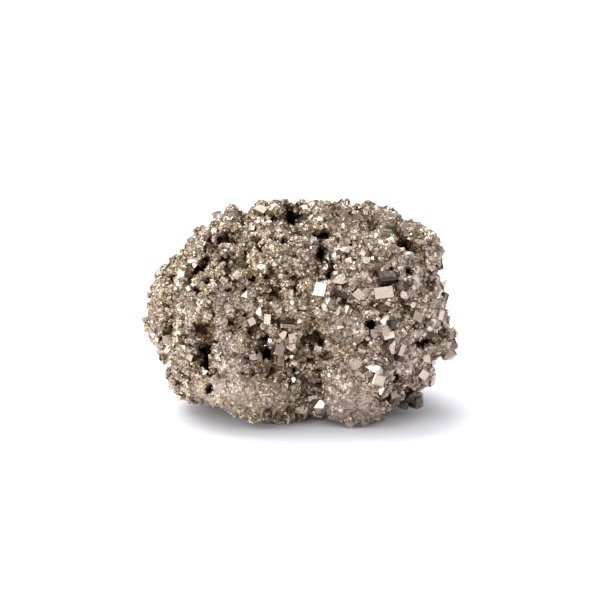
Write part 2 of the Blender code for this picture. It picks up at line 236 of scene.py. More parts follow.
CAVITIES: dict[str, Cavity] = {
    "crown_hollow": Cavity((-1.7, 19.2), (2.3, 1.6), 2.4),
    "knob_pit": Cavity((-5.6, 18.0), (0.8, 0.7), 1.4),
    "ridge_crevice": Cavity((5.1, 14.5), (1.3, 1.1), 1.6),
    "ridge_crevice_west": Cavity((3.2, 14.7), (0.8, 0.5)),
    "cluster_crevice": Cavity((4.4, 10.4), (0.6, 2.0), 1.6),
    "cluster_crevice_low": Cavity((6.8, 6.6), (0.8, 1.9), 1.8),
    "brow_slot": Cavity((24.3, 12.0), (3.0, 1.5), 2.4, -30.0),
    "brow_dot": Cavity((21.9, 13.0), (0.6, 1.1), 1.6),
    "high_pit": Cavity((11.5, 12.6), (0.8, 0.5)),
    "flank_pit": Cavity((24.2, 6.4), (0.7, 0.9), 1.4),
    "flank_pit_low": Cavity((28.9, 3.8), (0.7, 0.6)),
    "slab_gap": Cavity((20.3, 7.1), (0.4, 0.8)),
    "great_gap": Cavity((17.6, -1.4), (0.6, 0.8)),
    "great_gap_east": Cavity((22.2, -1.9), (0.8, 0.4)),
    "cluster_pit": Cavity((15.8, -5.6), (1.4, 1.5), 2.2),
    "slope_pit": Cavity((25.7, -5.9), (0.7, 0.6)),
    "slope_dot": Cavity((25.4, -3.6), (0.5, 0.5)),
    "nub_slot": Cavity((28.0, -9.5), (3.1, 0.95), 2.0, 6.0),
    "window_pit": Cavity((-8.4, -8.9), (1.0, 1.0), 1.6),
    "window_pit_low": Cavity((-7.4, -12.2), (1.6, 1.5), 2.0),
    "west_pit": Cavity((-21.1, -12.9), (1.0, 2.8), 2.0, -6.0),
    "west_hollow": Cavity((-22.4, -6.7), (1.8, 1.8), 0.8),
    "west_crevice_high": Cavity((-21.1, 10.2), (0.8, 1.9), 1.8, 8.0),
    "west_crevice": Cavity((-22.0, 7.2), (3.4, 0.75), 1.8, 36.0),
    "saddle_pit": Cavity((-9.8, 13.8), (1.1, 0.6), 1.6),
    "saddle_dot": Cavity((-12.2, 12.8), (0.5, 0.6)),
    "long_gap": Cavity((-3.1, -5.2), (1.5, 0.35), 1.0),
    "toe_crevice": Cavity((-20.2, -20.2), (0.5, 1.3), 1.2, -12.0),
    "ledge_crevice": Cavity((18.9, -22.2), (2.3, 0.5), 1.4),
}

# The dots: small holes of the west and of the crown.
DOTS: tuple[Cavity, ...] = (
    Cavity((-28.2, 5.1), (0.6, 0.6)),
    Cavity((-25.6, 2.2), (0.5, 0.5)),
    Cavity((-23.3, 2.2), (0.8, 0.6), 1.5),
    Cavity((-21.2, 4.2), (0.5, 0.8)),
    Cavity((-24.6, 0.0), (0.7, 0.4)),
    Cavity((-28.4, 0.7), (0.6, 0.6)),
    Cavity((-28.2, -4.0), (0.6, 0.5)),
    Cavity((-31.1, -8.4), (0.6, 0.5)),
    Cavity((-18.1, 16.7), (0.5, 0.5)),
    Cavity((-20.1, 13.6), (0.7, 0.8), 1.4),
    Cavity((-16.7, 14.4), (0.6, 0.5)),
    Cavity((-10.8, 4.8), (0.8, 0.6), 1.4),
    Cavity((-7.6, 5.4), (0.7, 0.6), 1.4),
    Cavity((-15.9, 2.2), (0.6, 0.6), 1.4),
    Cavity((-12.5, 2.7), (0.5, 0.5)),
    Cavity((-3.5, 13.0), (0.5, 0.7)),
    Cavity((-3.1, 6.4), (0.5, 0.5)),
    Cavity((-1.6, 2.7), (0.6, 0.5)),
    Cavity((-12.0, 7.8), (0.5, 0.4)),
    Cavity((-19.6, 1.1), (0.5, 0.5)),
)


@dataclass(frozen=True)
class Swell:
    """A place where the mass stands a little prouder or lower than the solid.

    Args:
        place: its middle, in millimetres.
        radius: how far it reaches.
        height: how much prouder it is.
    """

    place: Triple
    radius: float
    height: float

    def at(self, points: np.ndarray) -> np.ndarray:
        """How much prouder points in metres are, in millimetres."""
        away = np.linalg.norm(points / MM - np.array(self.place), axis=1)
        return self.height * (1.0 - smooth_step(0.2, 1.0, away / self.radius))


SWELLS: tuple[Swell, ...] = (
    Swell((20.2, 0.4, 43.0), 3.2, 1.7),
    Swell((22.2, 2.6, 42.2), 3.4, 1.1),
    Swell((-8.6, 3.6, 45.3), 3.4, 1.0),
    Swell((-15.0, 1.0, 44.4), 2.8, 1.3),
    Swell((-12.2, 0.2, 43.6), 2.2, -1.3),
    Swell((14.0, -0.9, 47.0), 4.0, -1.3),
    Swell((4.4, 1.4, 46.3), 3.0, -0.6),
    Swell((8.6, -1.0, 46.4), 3.0, 0.5),
    Swell((0.0, 3.0, 45.2), 3.2, 1.1),
    Swell((-33.9, 2.0, 23.5), 6.0, 0.8),
    Swell((-32.0, -6.0, 14.0), 5.0, -0.9),
    Swell((-12.8, -17.7, 2.9), 4.0, 0.9),
    Swell((30.4, 0.6, 37.0), 4.5, 0.6),
    Swell((8.1, -17.7, 2.7), 4.0, 1.1),
    Swell((-14.0, -17.8, 16.0), 5.6, 2.0),
)


@dataclass(frozen=True)
class Zones:
    """Where the druse is fine and where it is coarse.

    The west of the lump has fine grains and the east coarse ones, on the back as on the front, and
    patches of the front have a size of their own.

    Args:
        chart: the chart of the front.
        fine: grain size in the west, in millimetres.
        coarse: grain size in the east.
        change: from where to where, going east, the west passes into the east.
        waver: spacing and reach of the clouds that move this change for the grains.
        crystal_waver: the same for the larger crystals.
        front: from where to where, going back, what is placed on the chart fades out.
        crown: between which heights the crown begins.
        crown_grain: grain size on the east of the crown.
        smoother: the share of the usual cobbling that the east lacks.
        usual: how closely larger crystals stand in the east, from 0 to 1.
        bare: the share of them that the crown lacks.
        few: how closely they stand in the west.
        rags: spacing and reach of the clouds that move the rims of the holes.
        deeper: how many times their own depth the holes are sunk.
        patches: ovals of the front with a druse of their own.
        groves: ovals of the front with more or fewer of the larger crystals.
    """

    chart: FrontChart
    fine: float = 0.42
    coarse: float = 0.5
    change: Pair = (1.0, 9.0)
    waver: Pair = (6.0, 4.0)
    crystal_waver: Pair = (7.0, 5.0)
    front: Pair = (2.0, 8.0)
    crown: Pair = (38.0, 43.0)
    crown_grain: float = 0.44
    smoother: float = 0.35
    usual: float = 0.75
    bare: float = 0.9
    few: float = 0.05
    rags: Pair = (1.3, 0.7)
    deeper: float = 1.7
    patches: tuple[Patch, ...] = (
        Patch((-12.5, -20.5), (12.0, 4.6), 0.36, cobble=0.25, calm=0.66),
        Patch((-15.6, -13.0), (3.4, 3.8), 0.36, cobble=0.15, calm=0.6),
        Patch((-6.4, -10.0), (4.6, 5.0), 0.55),
        Patch((2.8, -13.4), (3.4, 9.0), 0.46, cobble=0.8, tarnish_and_shade=0.5),
        Patch((-2.0, -21.0), (3.4, 3.0), 0.5, tarnish_and_shade=0.3),
        Patch((10.5, -22.5), (7.5, 5.0), 0.36, cobble=0.4, calm=0.72),
        Patch((8.6, -14.0), (4.6, 7.0), 0.4, cobble=0.5, calm=0.3),
        Patch((-20.5, -8.5), (3.4, 5.5), 0.5, tarnish_and_shade=0.4),
        Patch((-21.0, -15.0), (3.6, 5.0), 0.5),
        Patch((-8.0, -4.2), (4.4, 2.6), 0.55),
    )
    groves: tuple[Grove, ...] = (
        Grove((-12.5, -20.5), (12.0, 4.6), 0.0),
        Grove((-14.6, -13.6), (4.4, 4.4), 0.0),
        Grove((-6.0, -10.0), (4.4, 5.4), 0.55),
        Grove((1.8, -17.0), (4.0, 7.5), 0.4),
        Grove((10.5, -24.5), (9.5, 5.6), 0.0),
        Grove((8.6, -13.5), (4.0, 6.4), 0.03),
        Grove((-8.0, -4.2), (4.0, 2.4), 0.3),
        Grove((3.0, 3.0), (4.4, 5.0), 0.25),
        Grove((27.0, 12.0), (6.0, 6.0), 0.1),
        Grove((23.6, 13.4), (4.6, 4.0), 0.0),
        Grove((3.0, 16.5), (5.0, 4.0), 0.02),
        Grove((32.0, -9.5), (4.5, 4.5), 0.1),
        Grove((-30.0, 2.0), (6.0, 5.0), 0.0),
    )

    def charted(self, points: np.ndarray) -> tuple[np.ndarray, np.ndarray, np.ndarray]:
        """Finds points on the chart.

        Args:
            points: points in metres.

        Returns:
            How far right and how far up each shows, and 1 on the lump's front, 0 on its back.
        """
        across, height = self.chart.places_of(points)
        return across, height, 1.0 - smooth_step(*self.front, points[:, 1] / MM)

    def east_at(self, points: np.ndarray, waver: Pair) -> np.ndarray:
        """How far points in metres belong to the east, with a wavering border."""
        return smooth_step(*self.change, points[:, 0] / MM + waver[1] * clouds(points, waver[0]))

    def grain_at(self, points: np.ndarray) -> np.ndarray:
        """Works out the size of the grains.

        Args:
            points: points in metres.

        Returns:
            The usual grain size at each, in millimetres.
        """
        across, height, front = self.charted(points)
        east = self.east_at(points, self.waver)
        size = self.fine + (self.coarse - self.fine) * east
        crown = smooth_step(*self.crown, points[:, 2] / MM) * east
        size += (self.crown_grain - size) * crown
        for patch in self.patches:
            size += (patch.grain - size) * patch.share(across, height) * front
        return size

    def cobble_at(self, points: np.ndarray) -> np.ndarray:
        """Works out how strongly the mass is cobbled.

        Args:
            points: points in metres.

        Returns:
            The strength at each, 1 being the usual.
        """
        across, height, front = self.charted(points)
        strength = 1.0 - self.smoother * smooth_step(*self.change, points[:, 0] / MM)
        for patch in self.patches:
            strength *= 1.0 - (1.0 - patch.cobble) * patch.share(across, height) * front
        return strength

    def coarse_at(self, points: np.ndarray) -> np.ndarray:
        """Works out how closely larger crystals stand.

        Args:
            points: points in metres.

        Returns:
            A number from 0 to 1 for each.
        """
        across, height, front = self.charted(points)
        share = self.east_at(points, self.crystal_waver)
        share *= self.usual * (1.0 - self.bare * smooth_step(*self.crown, points[:, 2] / MM))
        share = np.maximum(share, self.few)
        for grove in self.groves:
            share += (grove.crowd - share) * grove.share(across, height) * front
        return share

    def cavity_at(self, points: np.ndarray, margin: float = 0.15) -> tuple[np.ndarray, np.ndarray]:
        """Finds the holes, which are sunk deeper and painted dark as shade and patina.

        Args:
            points: points in metres.
            margin: how much wider the holes are taken to be, in millimetres.

        Returns:
            How far each point is in a hole, from 0 to 1, and how deep that is in millimetres.
        """
        across, height, front = self.charted(points)
        ragged = self.rags[1] * drifts(points, self.rags[0])
        across, height = across + ragged[:, 0], height + ragged[:, 2]
        within, depth = np.zeros(len(points)), np.zeros(len(points))
        for cavity in (*CAVITIES.values(), *DOTS):
            share = cavity.share(across, height, margin) * front
            within = np.maximum(within, share)
            depth = np.maximum(depth, self.deeper * cavity.depth * share)
        return within, depth

    def most_at(self, points: np.ndarray, amount: Callable[[Patch], float]) -> np.ndarray:
        """Works out something that patches have an amount of.

        Args:
            points: points in metres.
            amount: reads the amount from a patch.

        Returns:
            The largest amount that reaches each point.
        """
        across, height, front = self.charted(points)
        most = np.zeros(len(points))
        for patch in self.patches:
            most = np.maximum(most, amount(patch) * patch.share(across, height) * front)
        return most

    def calm_at(self, points: np.ndarray) -> np.ndarray:
        """The share of the grains that points in metres lack."""
        return self.most_at(points, lambda patch: patch.calm)

    def tarnish_and_shade_at(self, points: np.ndarray) -> np.ndarray:
        """Brown patina and painted shade at points in metres, beside that of the hollows."""
        return self.most_at(points, lambda patch: patch.tarnish_and_shade)


# ---------------------------------------------------------------------------------------------------
# Crystal habits, and joining many crystals in one mesh


class Habit(Enum):
    """The crystal habits that the specimen shows."""

    CUBE = "cube"
    EDGED_CUBE = "edged_cube"
    CUT_CUBE = "cut_cube"
    STEPPED_CUBE = "stepped_cube"
    PYRITOHEDRON = "pyritohedron"
    CHIPPED_CUBE = "chipped_cube"
    SHARD_LOW = "shard_low"
    SHARD_TALL = "shard_tall"
    SHARD_WIDE = "shard_wide"
    CORNER = "corner"


Habits = tuple[tuple[Habit, float], ...]


@dataclass(frozen=True)
class Pattern:
    """One crystal of unit size, as arrays that can be repeated.

    Args:
        points: corner points.
        corners: the points of each face, one face after the other.
        sizes: the number of corners of each face.
        bands: where each corner lies across the growth bands of its face.
    """

    points: np.ndarray
    corners: np.ndarray
    sizes: np.ndarray
    bands: np.ndarray

    @classmethod
    def of(cls, habit: Habit) -> "Pattern":
        """Makes a habit's crystal and reads it into arrays.

        Args:
            habit: the habit.

        Returns:
            The pattern.
        """
        bm = CRYSTALS[habit]()
        bm.verts.index_update()
        bm.normal_update()
        points = np.array([vertex.co[:] for vertex in bm.verts])
        corners, sizes, bands = [], [], []
        for face in bm.faces:
            axis = int(np.argmax(np.abs(face.normal)))
            sizes.append(len(face.verts))
            corners.extend(vertex.index for vertex in face.verts)
            bands.extend(vertex.co[(axis + 1) % 3] for vertex in face.verts)
        bm.free()
        return cls(points, np.array(corners), np.array(sizes), np.array(bands))


def cube() -> bmesh.types.BMesh:
    """A unit cube."""
    bm = bmesh.new()
    bmesh.ops.create_cube(bm, size=1.0)
    return bm


def bevelled_cube(affect: str, offset: float) -> bmesh.types.BMesh:
    """Makes a unit cube with its edges broken or its corners cut off.

    Args:
        affect: EDGES or VERTICES.
        offset: how wide the cut is.

    Returns:
        The crystal.
    """
    bm = cube()
    cut = bm.edges[:] if affect == "EDGES" else bm.verts[:]
    bmesh.ops.bevel(bm, geom=cut, offset=offset, affect=affect, segments=1, profile=0.5, material=-1)
    return bm


def stepped_cube(terraces: Sequence[Pair] = ((0.07, 0.03), (0.11, 0.025))) -> bmesh.types.BMesh:
    """Makes a unit cube whose faces end in low growth terraces.

    Args:
        terraces: how far in each terrace is from the one below, and how much higher it is.

    Returns:
        The crystal.
    """
    bm = cube()
    for thickness, rise in terraces:
        bmesh.ops.inset_individual(bm, faces=bm.faces[:6], thickness=thickness, depth=0.0)
        for face in bm.faces[:6]:
            bmesh.ops.translate(bm, verts=face.verts[:], vec=face.normal * rise)
    return bm


def pare(bm: bmesh.types.BMesh, normal: Vector, reach: float) -> None:
    """Cuts away what lies beyond a plane and closes the cut with one flat face.

    Args:
        bm: the crystal.
        normal: the plane's direction, out of the crystal.
        reach: how far the plane is from the middle.
    """
    everything = bm.verts[:] + bm.edges[:] + bm.faces[:]
    cut = bmesh.ops.bisect_plane(
        bm, geom=everything, plane_co=normal * reach, plane_no=normal, clear_outer=True
    )
    rim = [item for item in cut["geom_cut"] if isinstance(item, bmesh.types.BMEdge)]
    if rim:
        bmesh.ops.contextual_create(bm, geom=rim)
        bmesh.ops.recalc_face_normals(bm, faces=bm.faces[:])


def pyritohedron(reach: float = 0.45) -> bmesh.types.BMesh:
    """Pares a cube down to the twelve five-sided faces that pyrite is named for.

    Args:
        reach: how far the faces are from the middle.

    Returns:
        The crystal.
    """
    bm = cube()
    for axis in range(3):
        for first in (-2.0, 2.0):
            for second in (-1.0, 1.0):
                normal = Vector((0.0, 0.0, 0.0))
                normal[axis], normal[(axis + 1) % 3] = first, second
                pare(bm, normal.normalized(), reach)
    return bm


def chipped(seed: int, chips: int, reaches: Pair, wander: float) -> bmesh.types.BMesh:
    """Makes a cube whose corners and edges other crystals have grown into.

    Args:
        seed: picks one of the many shapes.
        chips: how many planes cut it.
        reaches: nearest and farthest that a plane is from the middle.
        wander: how far a plane strays from facing a corner.

    Returns:
        The crystal.
    """
    draw = random.Random(seed)
    bm = cube()
    for _ in range(chips):
        normal = Vector([draw.choice((-1.0, 1.0)) + draw.uniform(-wander, wander) for _ in range(3)])
        pare(bm, normal.normalized(), draw.uniform(*reaches))
    return bm


def corner(reach: float = 0.29) -> bmesh.types.BMesh:
    """Makes the corner of a cube that stands out of a crust, with the rest cut away.

    Args:
        reach: how far from the cube's middle, towards the corner, the cut is.

    Returns:
        The crystal.
    """
    bm = cube()
    pare(bm, Vector((-1.0, -1.0, -1.0)).normalized(), -reach)
    middle = sum((vertex.co for vertex in bm.verts), Vector()) / len(bm.verts)
    bmesh.ops.translate(bm, verts=bm.verts[:], vec=-middle)
    return bm


SHARD = (6, (0.42, 0.6), 0.9)  # how many planes cut a shard, how near they are and how far they stray

CRYSTALS: dict[Habit, Callable[[], bmesh.types.BMesh]] = {
    Habit.CUBE: cube,
    Habit.EDGED_CUBE: partial(bevelled_cube, "EDGES", 0.025),
    Habit.CUT_CUBE: partial(bevelled_cube, "VERTICES", 0.2),
    Habit.STEPPED_CUBE: stepped_cube,
    Habit.PYRITOHEDRON: pyritohedron,
    Habit.CHIPPED_CUBE: partial(chipped, 3, 4, (0.56, 0.7), 0.5),
    Habit.SHARD_LOW: partial(chipped, 5, *SHARD),
    Habit.SHARD_TALL: partial(chipped, 8, *SHARD),
    Habit.SHARD_WIDE: partial(chipped, 13, *SHARD),
    Habit.CORNER: corner,
}


@dataclass
class Batch:
    """Crystals of one habit, ready to be joined.

    Args:
        pattern: the crystal.
        places: their centres, in metres.
        turns: their 3 by 3 turns.
        sides: their sizes along their own axes, in metres.
        tints: how bright each is, from 0 to 1.
        hollows: how dark each is painted, from 0 to 1: the depth of its hollow, its patina and its painted
            shade.
    """

    pattern: Pattern
    places: np.ndarray
    turns: np.ndarray
    sides: np.ndarray
    tints: np.ndarray
    hollows: np.ndarray

    def points(self) -> np.ndarray:
        """The corner points of every crystal, crystal by crystal."""
        sized = self.pattern.points[None, :, :] * self.sides[:, None, :]
        return np.einsum("nij,nkj->nki", self.turns, sized) + self.places[:, None, :]

    def above(self, floor: float) -> "Batch":
        """The crystals that stay wholly above a height in metres."""
        return self.where(self.points()[:, :, 2].min(axis=1) > floor)

    def where(self, keep: np.ndarray) -> "Batch":
        """The crystals that a mask keeps."""
        arrays = (self.places, self.turns, self.sides, self.tints, self.hollows)
        return Batch(self.pattern, *(array[keep] for array in arrays))


def by_habit(draw: np.random.Generator, habits: Habits, *arrays: np.ndarray) -> list[Batch]:
    """Gives crystals their habits, and leaves out those that reach the resting face.

    Args:
        draw: the source of chance.
        habits: each habit's share of the crystals.
        arrays: the crystals' places, turns, sides, tints and hollows.

    Returns:
        One batch for each habit.
    """
    shares = np.array([share for _, share in habits])
    kinds = draw.choice(len(habits), len(arrays[0]), p=shares / shares.sum())
    batches = []
    for number, (habit, _) in enumerate(habits):
        batch = Batch(Pattern.of(habit), *arrays).where(kinds == number)
        batches.append(batch.above(GROUND_GAP * MM))
    return batches


def covered(points: np.ndarray, batches: Iterable[Batch], scale: float) -> np.ndarray:
    """Finds the points that lie inside crystals.

    Args:
        points: the points, in metres.
        batches: the crystals.
        scale: how large each crystal is taken to be, as a share of its size.

    Returns:
        A mask of the points.
    """
    tree = KDTree(len(points))
    for index, point in enumerate(points):
        tree.insert(point, index)
    tree.balance()
    inside = np.zeros(len(points), bool)
    for batch in batches:
        for place, turn, side in zip(batch.places, batch.turns, batch.sides):
            found = tree.find_range(place, scale * np.linalg.norm(side) / 2.0)
            near = [index for _, index, _ in found]
            if near:
                local = (points[near] - place) @ turn / side
                inside[near] |= np.abs(local).max(axis=1) < scale / 2.0
    return inside


def random_turns(draw: np.random.Generator, count: int) -> np.ndarray:
    """Draws turns spread evenly over every direction.

    Args:
        draw: the source of chance.
        count: how many.

    Returns:
        The turns, as 3 by 3 matrices.
    """
    quaternion = draw.normal(size=(count, 4))
    quaternion /= np.linalg.norm(quaternion, axis=1)[:, None]
    w, x, y, z = quaternion.T
    rows = [
        [1 - 2 * (y * y + z * z), 2 * (x * y - z * w), 2 * (x * z + y * w)],
        [2 * (x * y + z * w), 1 - 2 * (x * x + z * z), 2 * (y * z - x * w)],
        [2 * (x * z - y * w), 2 * (y * z + x * w), 1 - 2 * (x * x + y * y)],
    ]
    return np.array(rows).transpose(2, 0, 1)


def joined(name: str, batches: Iterable[Batch]) -> bpy.types.Object:
    """Joins crystals in one mesh.

    Args:
        name: the new object's name.
        batches: the crystals.

    Returns:
        An object whose mesh has the attributes tint, hollow and band.
    """
    points, corners, sizes, tints, hollows, bands = [], [], [], [], [], []
    start = 0
    for batch in batches:
        count, each = len(batch.places), len(batch.pattern.points)
        offsets = start + each * np.arange(count)
        points.append(batch.points().reshape(-1, 3))
        corners.append((offsets[:, None] + batch.pattern.corners[None, :]).ravel())
        sizes.append(np.tile(batch.pattern.sizes, count))
        tints.append(np.repeat(batch.tints, each))
        hollows.append(np.repeat(batch.hollows, each))
        across = batch.pattern.bands[None, :] * batch.sides.mean(axis=1)[:, None]
        bands.append((across + BAND_STRIDE * MM * batch.tints[:, None]).ravel())
        start += each * count
    mesh = bpy.data.meshes.new(name)
    points, sizes = np.concatenate(points), np.concatenate(sizes)
    mesh.vertices.add(len(points))
    mesh.vertices.foreach_set("co", points.astype(np.float32).ravel())
    mesh.loops.add(int(sizes.sum()))
    mesh.loops.foreach_set("vertex_index", np.concatenate(corners).astype(np.int32))
    mesh.polygons.add(len(sizes))
    mesh.polygons.foreach_set("loop_start", (np.cumsum(sizes) - sizes).astype(np.int32))
    mesh.update(calc_edges=True)
    mesh.shade_flat()
    add_values(mesh, "tint", "POINT", np.concatenate(tints))
    add_values(mesh, "hollow", "POINT", np.concatenate(hollows))
    add_values(mesh, "band", "CORNER", np.concatenate(bands) / MM)
    return shown(name, mesh)


def add_values(mesh: bpy.types.Mesh, name: str, domain: str, values: np.ndarray) -> None:
    """Stores one number for each point or face corner of a mesh."""
    layer = mesh.attributes.new(name, "FLOAT", domain)
    layer.data.foreach_set("value", values.astype(np.float32))


def shown(name: str, data: bpy.types.ID) -> bpy.types.Object:
    """Links an object to the scene.

    Args:
        name: the object's name.
        data: its mesh, light or camera.

    Returns:
        The object.
    """
    thing = bpy.data.objects.new(name, data)
    bpy.context.scene.collection.objects.link(thing)
    return thing


# ---------------------------------------------------------------------------------------------------
# The mass


@dataclass
class Mass:
    """The lump under its druse: a finer copy of the solid, cobbled, creviced and pitted.

    Args:
        zones: where it is fine and coarse.
        voxel: mesh size of the copy.
        cobble: spacing and height of the cobbles that the crevices part.
        knobs: spacing and height of the small knobs on them.
        wander: spacing and reach of the clouds that bend their borders.
        cleft: how far from a cobble's border its cleft reaches, as a share of its size.
        shoulder: how far from their borders cobbles and knobs rise, as a share of their size.
        sunk: how far their borders lie below the skin, as shares of their heights.
        cleft_shade: how dark a cleft without a pit is painted, as shade and patina, from 0 to 1.
        pit_depth: how much deeper the pits among the cobbles are.
        pit_spacing: size of the areas that have pits.
        relax: rounds of smoothing from which the depth of a hollow is read.
        bed: height of the skin around the leading crystals.
        bed_reach: how far a bed goes, as a share of its crystal's size.
        base: height of the whole skin, which leaves room for the grains inside the solid's box.
        hollow_depth: depth at which a hollow is painted fully dark, as shade and patina.
        thinning: share of the faces that is kept.
        speckle: size of the areas that are brighter or dimmer.
        calm_dimming: how much dimmer it is where it has fewest grains.
        name: the piece's name.
    """

    zones: Zones
    voxel: float = 0.38
    cobble: Pair = (3.3, 0.85)
    knobs: Pair = (1.3, 0.2)
    wander: Pair = (2.4, 0.6)
    cleft: float = 0.26
    shoulder: float = 0.5
    sunk: Pair = (0.75, 0.6)
    cleft_shade: float = 0.45
    pit_depth: float = 1.5
    pit_spacing: float = 4.0
    relax: int = 14
    bed: float = -0.7
    bed_reach: float = 1.2
    base: float = -0.08
    hollow_depth: float = 1.0
    thinning: float = 0.68
    speckle: float = 0.5
    calm_dimming: float = 0.18
    name: str = "pyrite_mass"

    def build(self, node: bpy.types.Object, leading: Sequence[Batch]) -> bpy.types.Object:
        """Builds the mass from the lump's solid.

        Args:
            node: the solid's object.
            leading: the large crystals, which the skin is kept clear of.

        Returns:
            The mass, with the attributes hollow, tint and calm.
        """
        piece = self.refined(node)
        points, normals = self.arrays(piece.data)
        heights, clefts = self.relief(points)
        beds = covered(points, leading, self.bed_reach)
        heights[beds] = np.minimum(heights[beds], self.bed)
        heights += sum(swell.at(points) for swell in SWELLS)
        within, depth = self.zones.cavity_at(points)
        inwards = np.array(self.zones.chart.axes()[2])
        points = points + normals * (heights * MM)[:, None] + inwards * (depth * MM)[:, None]
        clefts = np.maximum(clefts, within)
        points[:, 2] = np.maximum(points[:, 2], 0.0)
        piece.data.vertices.foreach_set("co", points.astype(np.float32).ravel())
        piece.data.update()
        # The hollow value marks clefts, holes and sunken points, which the finishes paint dark: partly
        # patina, partly painted shade.
        hollow = np.clip(np.maximum(clefts, self.depths(piece.data) / self.hollow_depth), 0.0, 1.0)
        add_values(piece.data, "hollow", "POINT", hollow)
        self.thin(piece)
        points, _ = self.arrays(piece.data)
        tints = 0.5 + 0.5 * clouds(points, self.speckle)
        calm = self.zones.calm_at(points)
        add_values(piece.data, "tint", "POINT", tints - self.calm_dimming * calm)
        add_values(piece.data, "calm", "POINT", calm)
        return piece

    def refined(self, node: bpy.types.Object) -> bpy.types.Object:
        """Copies the solid, with its points merged and its faces remade small and even.

        Args:
            node: the solid's object.

        Returns:
            The copy.
        """
        bm = bmesh.new()
        bm.from_mesh(node.data)
        bmesh.ops.remove_doubles(bm, verts=bm.verts[:], dist=1e-7)
        mesh = bpy.data.meshes.new(self.name)
        bm.to_mesh(mesh)
        bm.free()
        piece = shown(self.name, mesh)
        remesh = piece.modifiers.new("fine", "REMESH")
        remesh.mode = "VOXEL"
        remesh.voxel_size = self.voxel * MM
        return applied(piece)

    def thin(self, piece: bpy.types.Object) -> None:
        """Thins the even faces to uneven ones, which glint like small crystal faces.

        Args:
            piece: the mass.
        """
        thinning = piece.modifiers.new("uneven", "DECIMATE")
        thinning.ratio = self.thinning
        applied(piece)
        piece.data.shade_flat()

    def relief(self, points: np.ndarray) -> tuple[np.ndarray, np.ndarray]:
        """Works out how the skin rises and falls.

        Args:
            points: the skin's points, in metres.

        Returns:
            Heights in millimetres, and how far each point is in a cleft, from 0 to 1.
        """
        bent = points + self.wander[1] * MM * drifts(points, self.wander[0])
        edges = self.cell_edges(bent, self.cobble[0])
        small = self.cell_edges(bent, self.knobs[0])
        clefts = 1.0 - smooth_step(0.0, self.cleft, edges)
        pits = clefts * smooth_step(0.0, 0.25, clouds(points, self.pit_spacing))
        strength = self.zones.cobble_at(points)
        heights = self.cobble[1] * (smooth_step(0.0, self.shoulder, edges) - self.sunk[0])
        heights = heights - self.pit_depth * pits
        knobs = self.knobs[1] * (smooth_step(0.0, self.shoulder, small) - self.sunk[1])
        return self.base + heights * strength + knobs, np.maximum(self.cleft_shade * clefts, pits) * strength

    @staticmethod
    def cell_edges(points: np.ndarray, spacing: float) -> np.ndarray:
        """How far points are from the borders of cells of a spacing: 0 on a border, near 1 inside."""
        scaled = points / (spacing * MM)
        return np.array([cell[1] - cell[0] for cell in (noise.voronoi(Vector(p))[0] for p in scaled)])

    @staticmethod
    def arrays(mesh: bpy.types.Mesh) -> tuple[np.ndarray, np.ndarray]:
        """Reads a mesh.

        Args:
            mesh: the mesh.

        Returns:
            Its points and their normals.
        """
        points = np.empty(len(mesh.vertices) * 3, np.float32)
        mesh.vertices.foreach_get("co", points)
        normals = np.empty(len(mesh.vertices) * 3, np.float32)
        mesh.vertex_normals.foreach_get("vector", normals)
        return points.reshape(-1, 3).astype(np.float64), normals.reshape(-1, 3).astype(np.float64)

    def depths(self, mesh: bpy.types.Mesh) -> np.ndarray:
        """Works out how far each point lies below its smoothed surroundings.

        Args:
            mesh: the skin.

        Returns:
            The depths, in millimetres.
        """
        points, normals = self.arrays(mesh)
        edges = np.empty(len(mesh.edges) * 2, np.int32)
        mesh.edges.foreach_get("vertices", edges)
        first, second = edges.reshape(-1, 2).T
        count = np.bincount(edges, minlength=len(points))[:, None]
        smooth = points.copy()
        for _ in range(self.relax):
            total = np.empty_like(smooth)
            for axis in range(3):
                total[:, axis] = np.bincount(first, smooth[second, axis], len(points))
                total[:, axis] += np.bincount(second, smooth[first, axis], len(points))
            smooth = total / count
        return np.einsum("ij,ij->i", smooth - points, normals) / MM


def applied(piece: bpy.types.Object) -> bpy.types.Object:
    """Replaces a piece's mesh by its evaluated one, with its modifiers used up.

    Args:
        piece: the piece.

    Returns:
        The same piece.
    """
    graph = bpy.context.evaluated_depsgraph_get()
    mesh = bpy.data.meshes.new_from_object(piece.evaluated_get(graph), depsgraph=graph)
    piece.modifiers.clear()
    mesh.name = piece.name
    piece.data = mesh
    return piece


# ---------------------------------------------------------------------------------------------------
# The druse


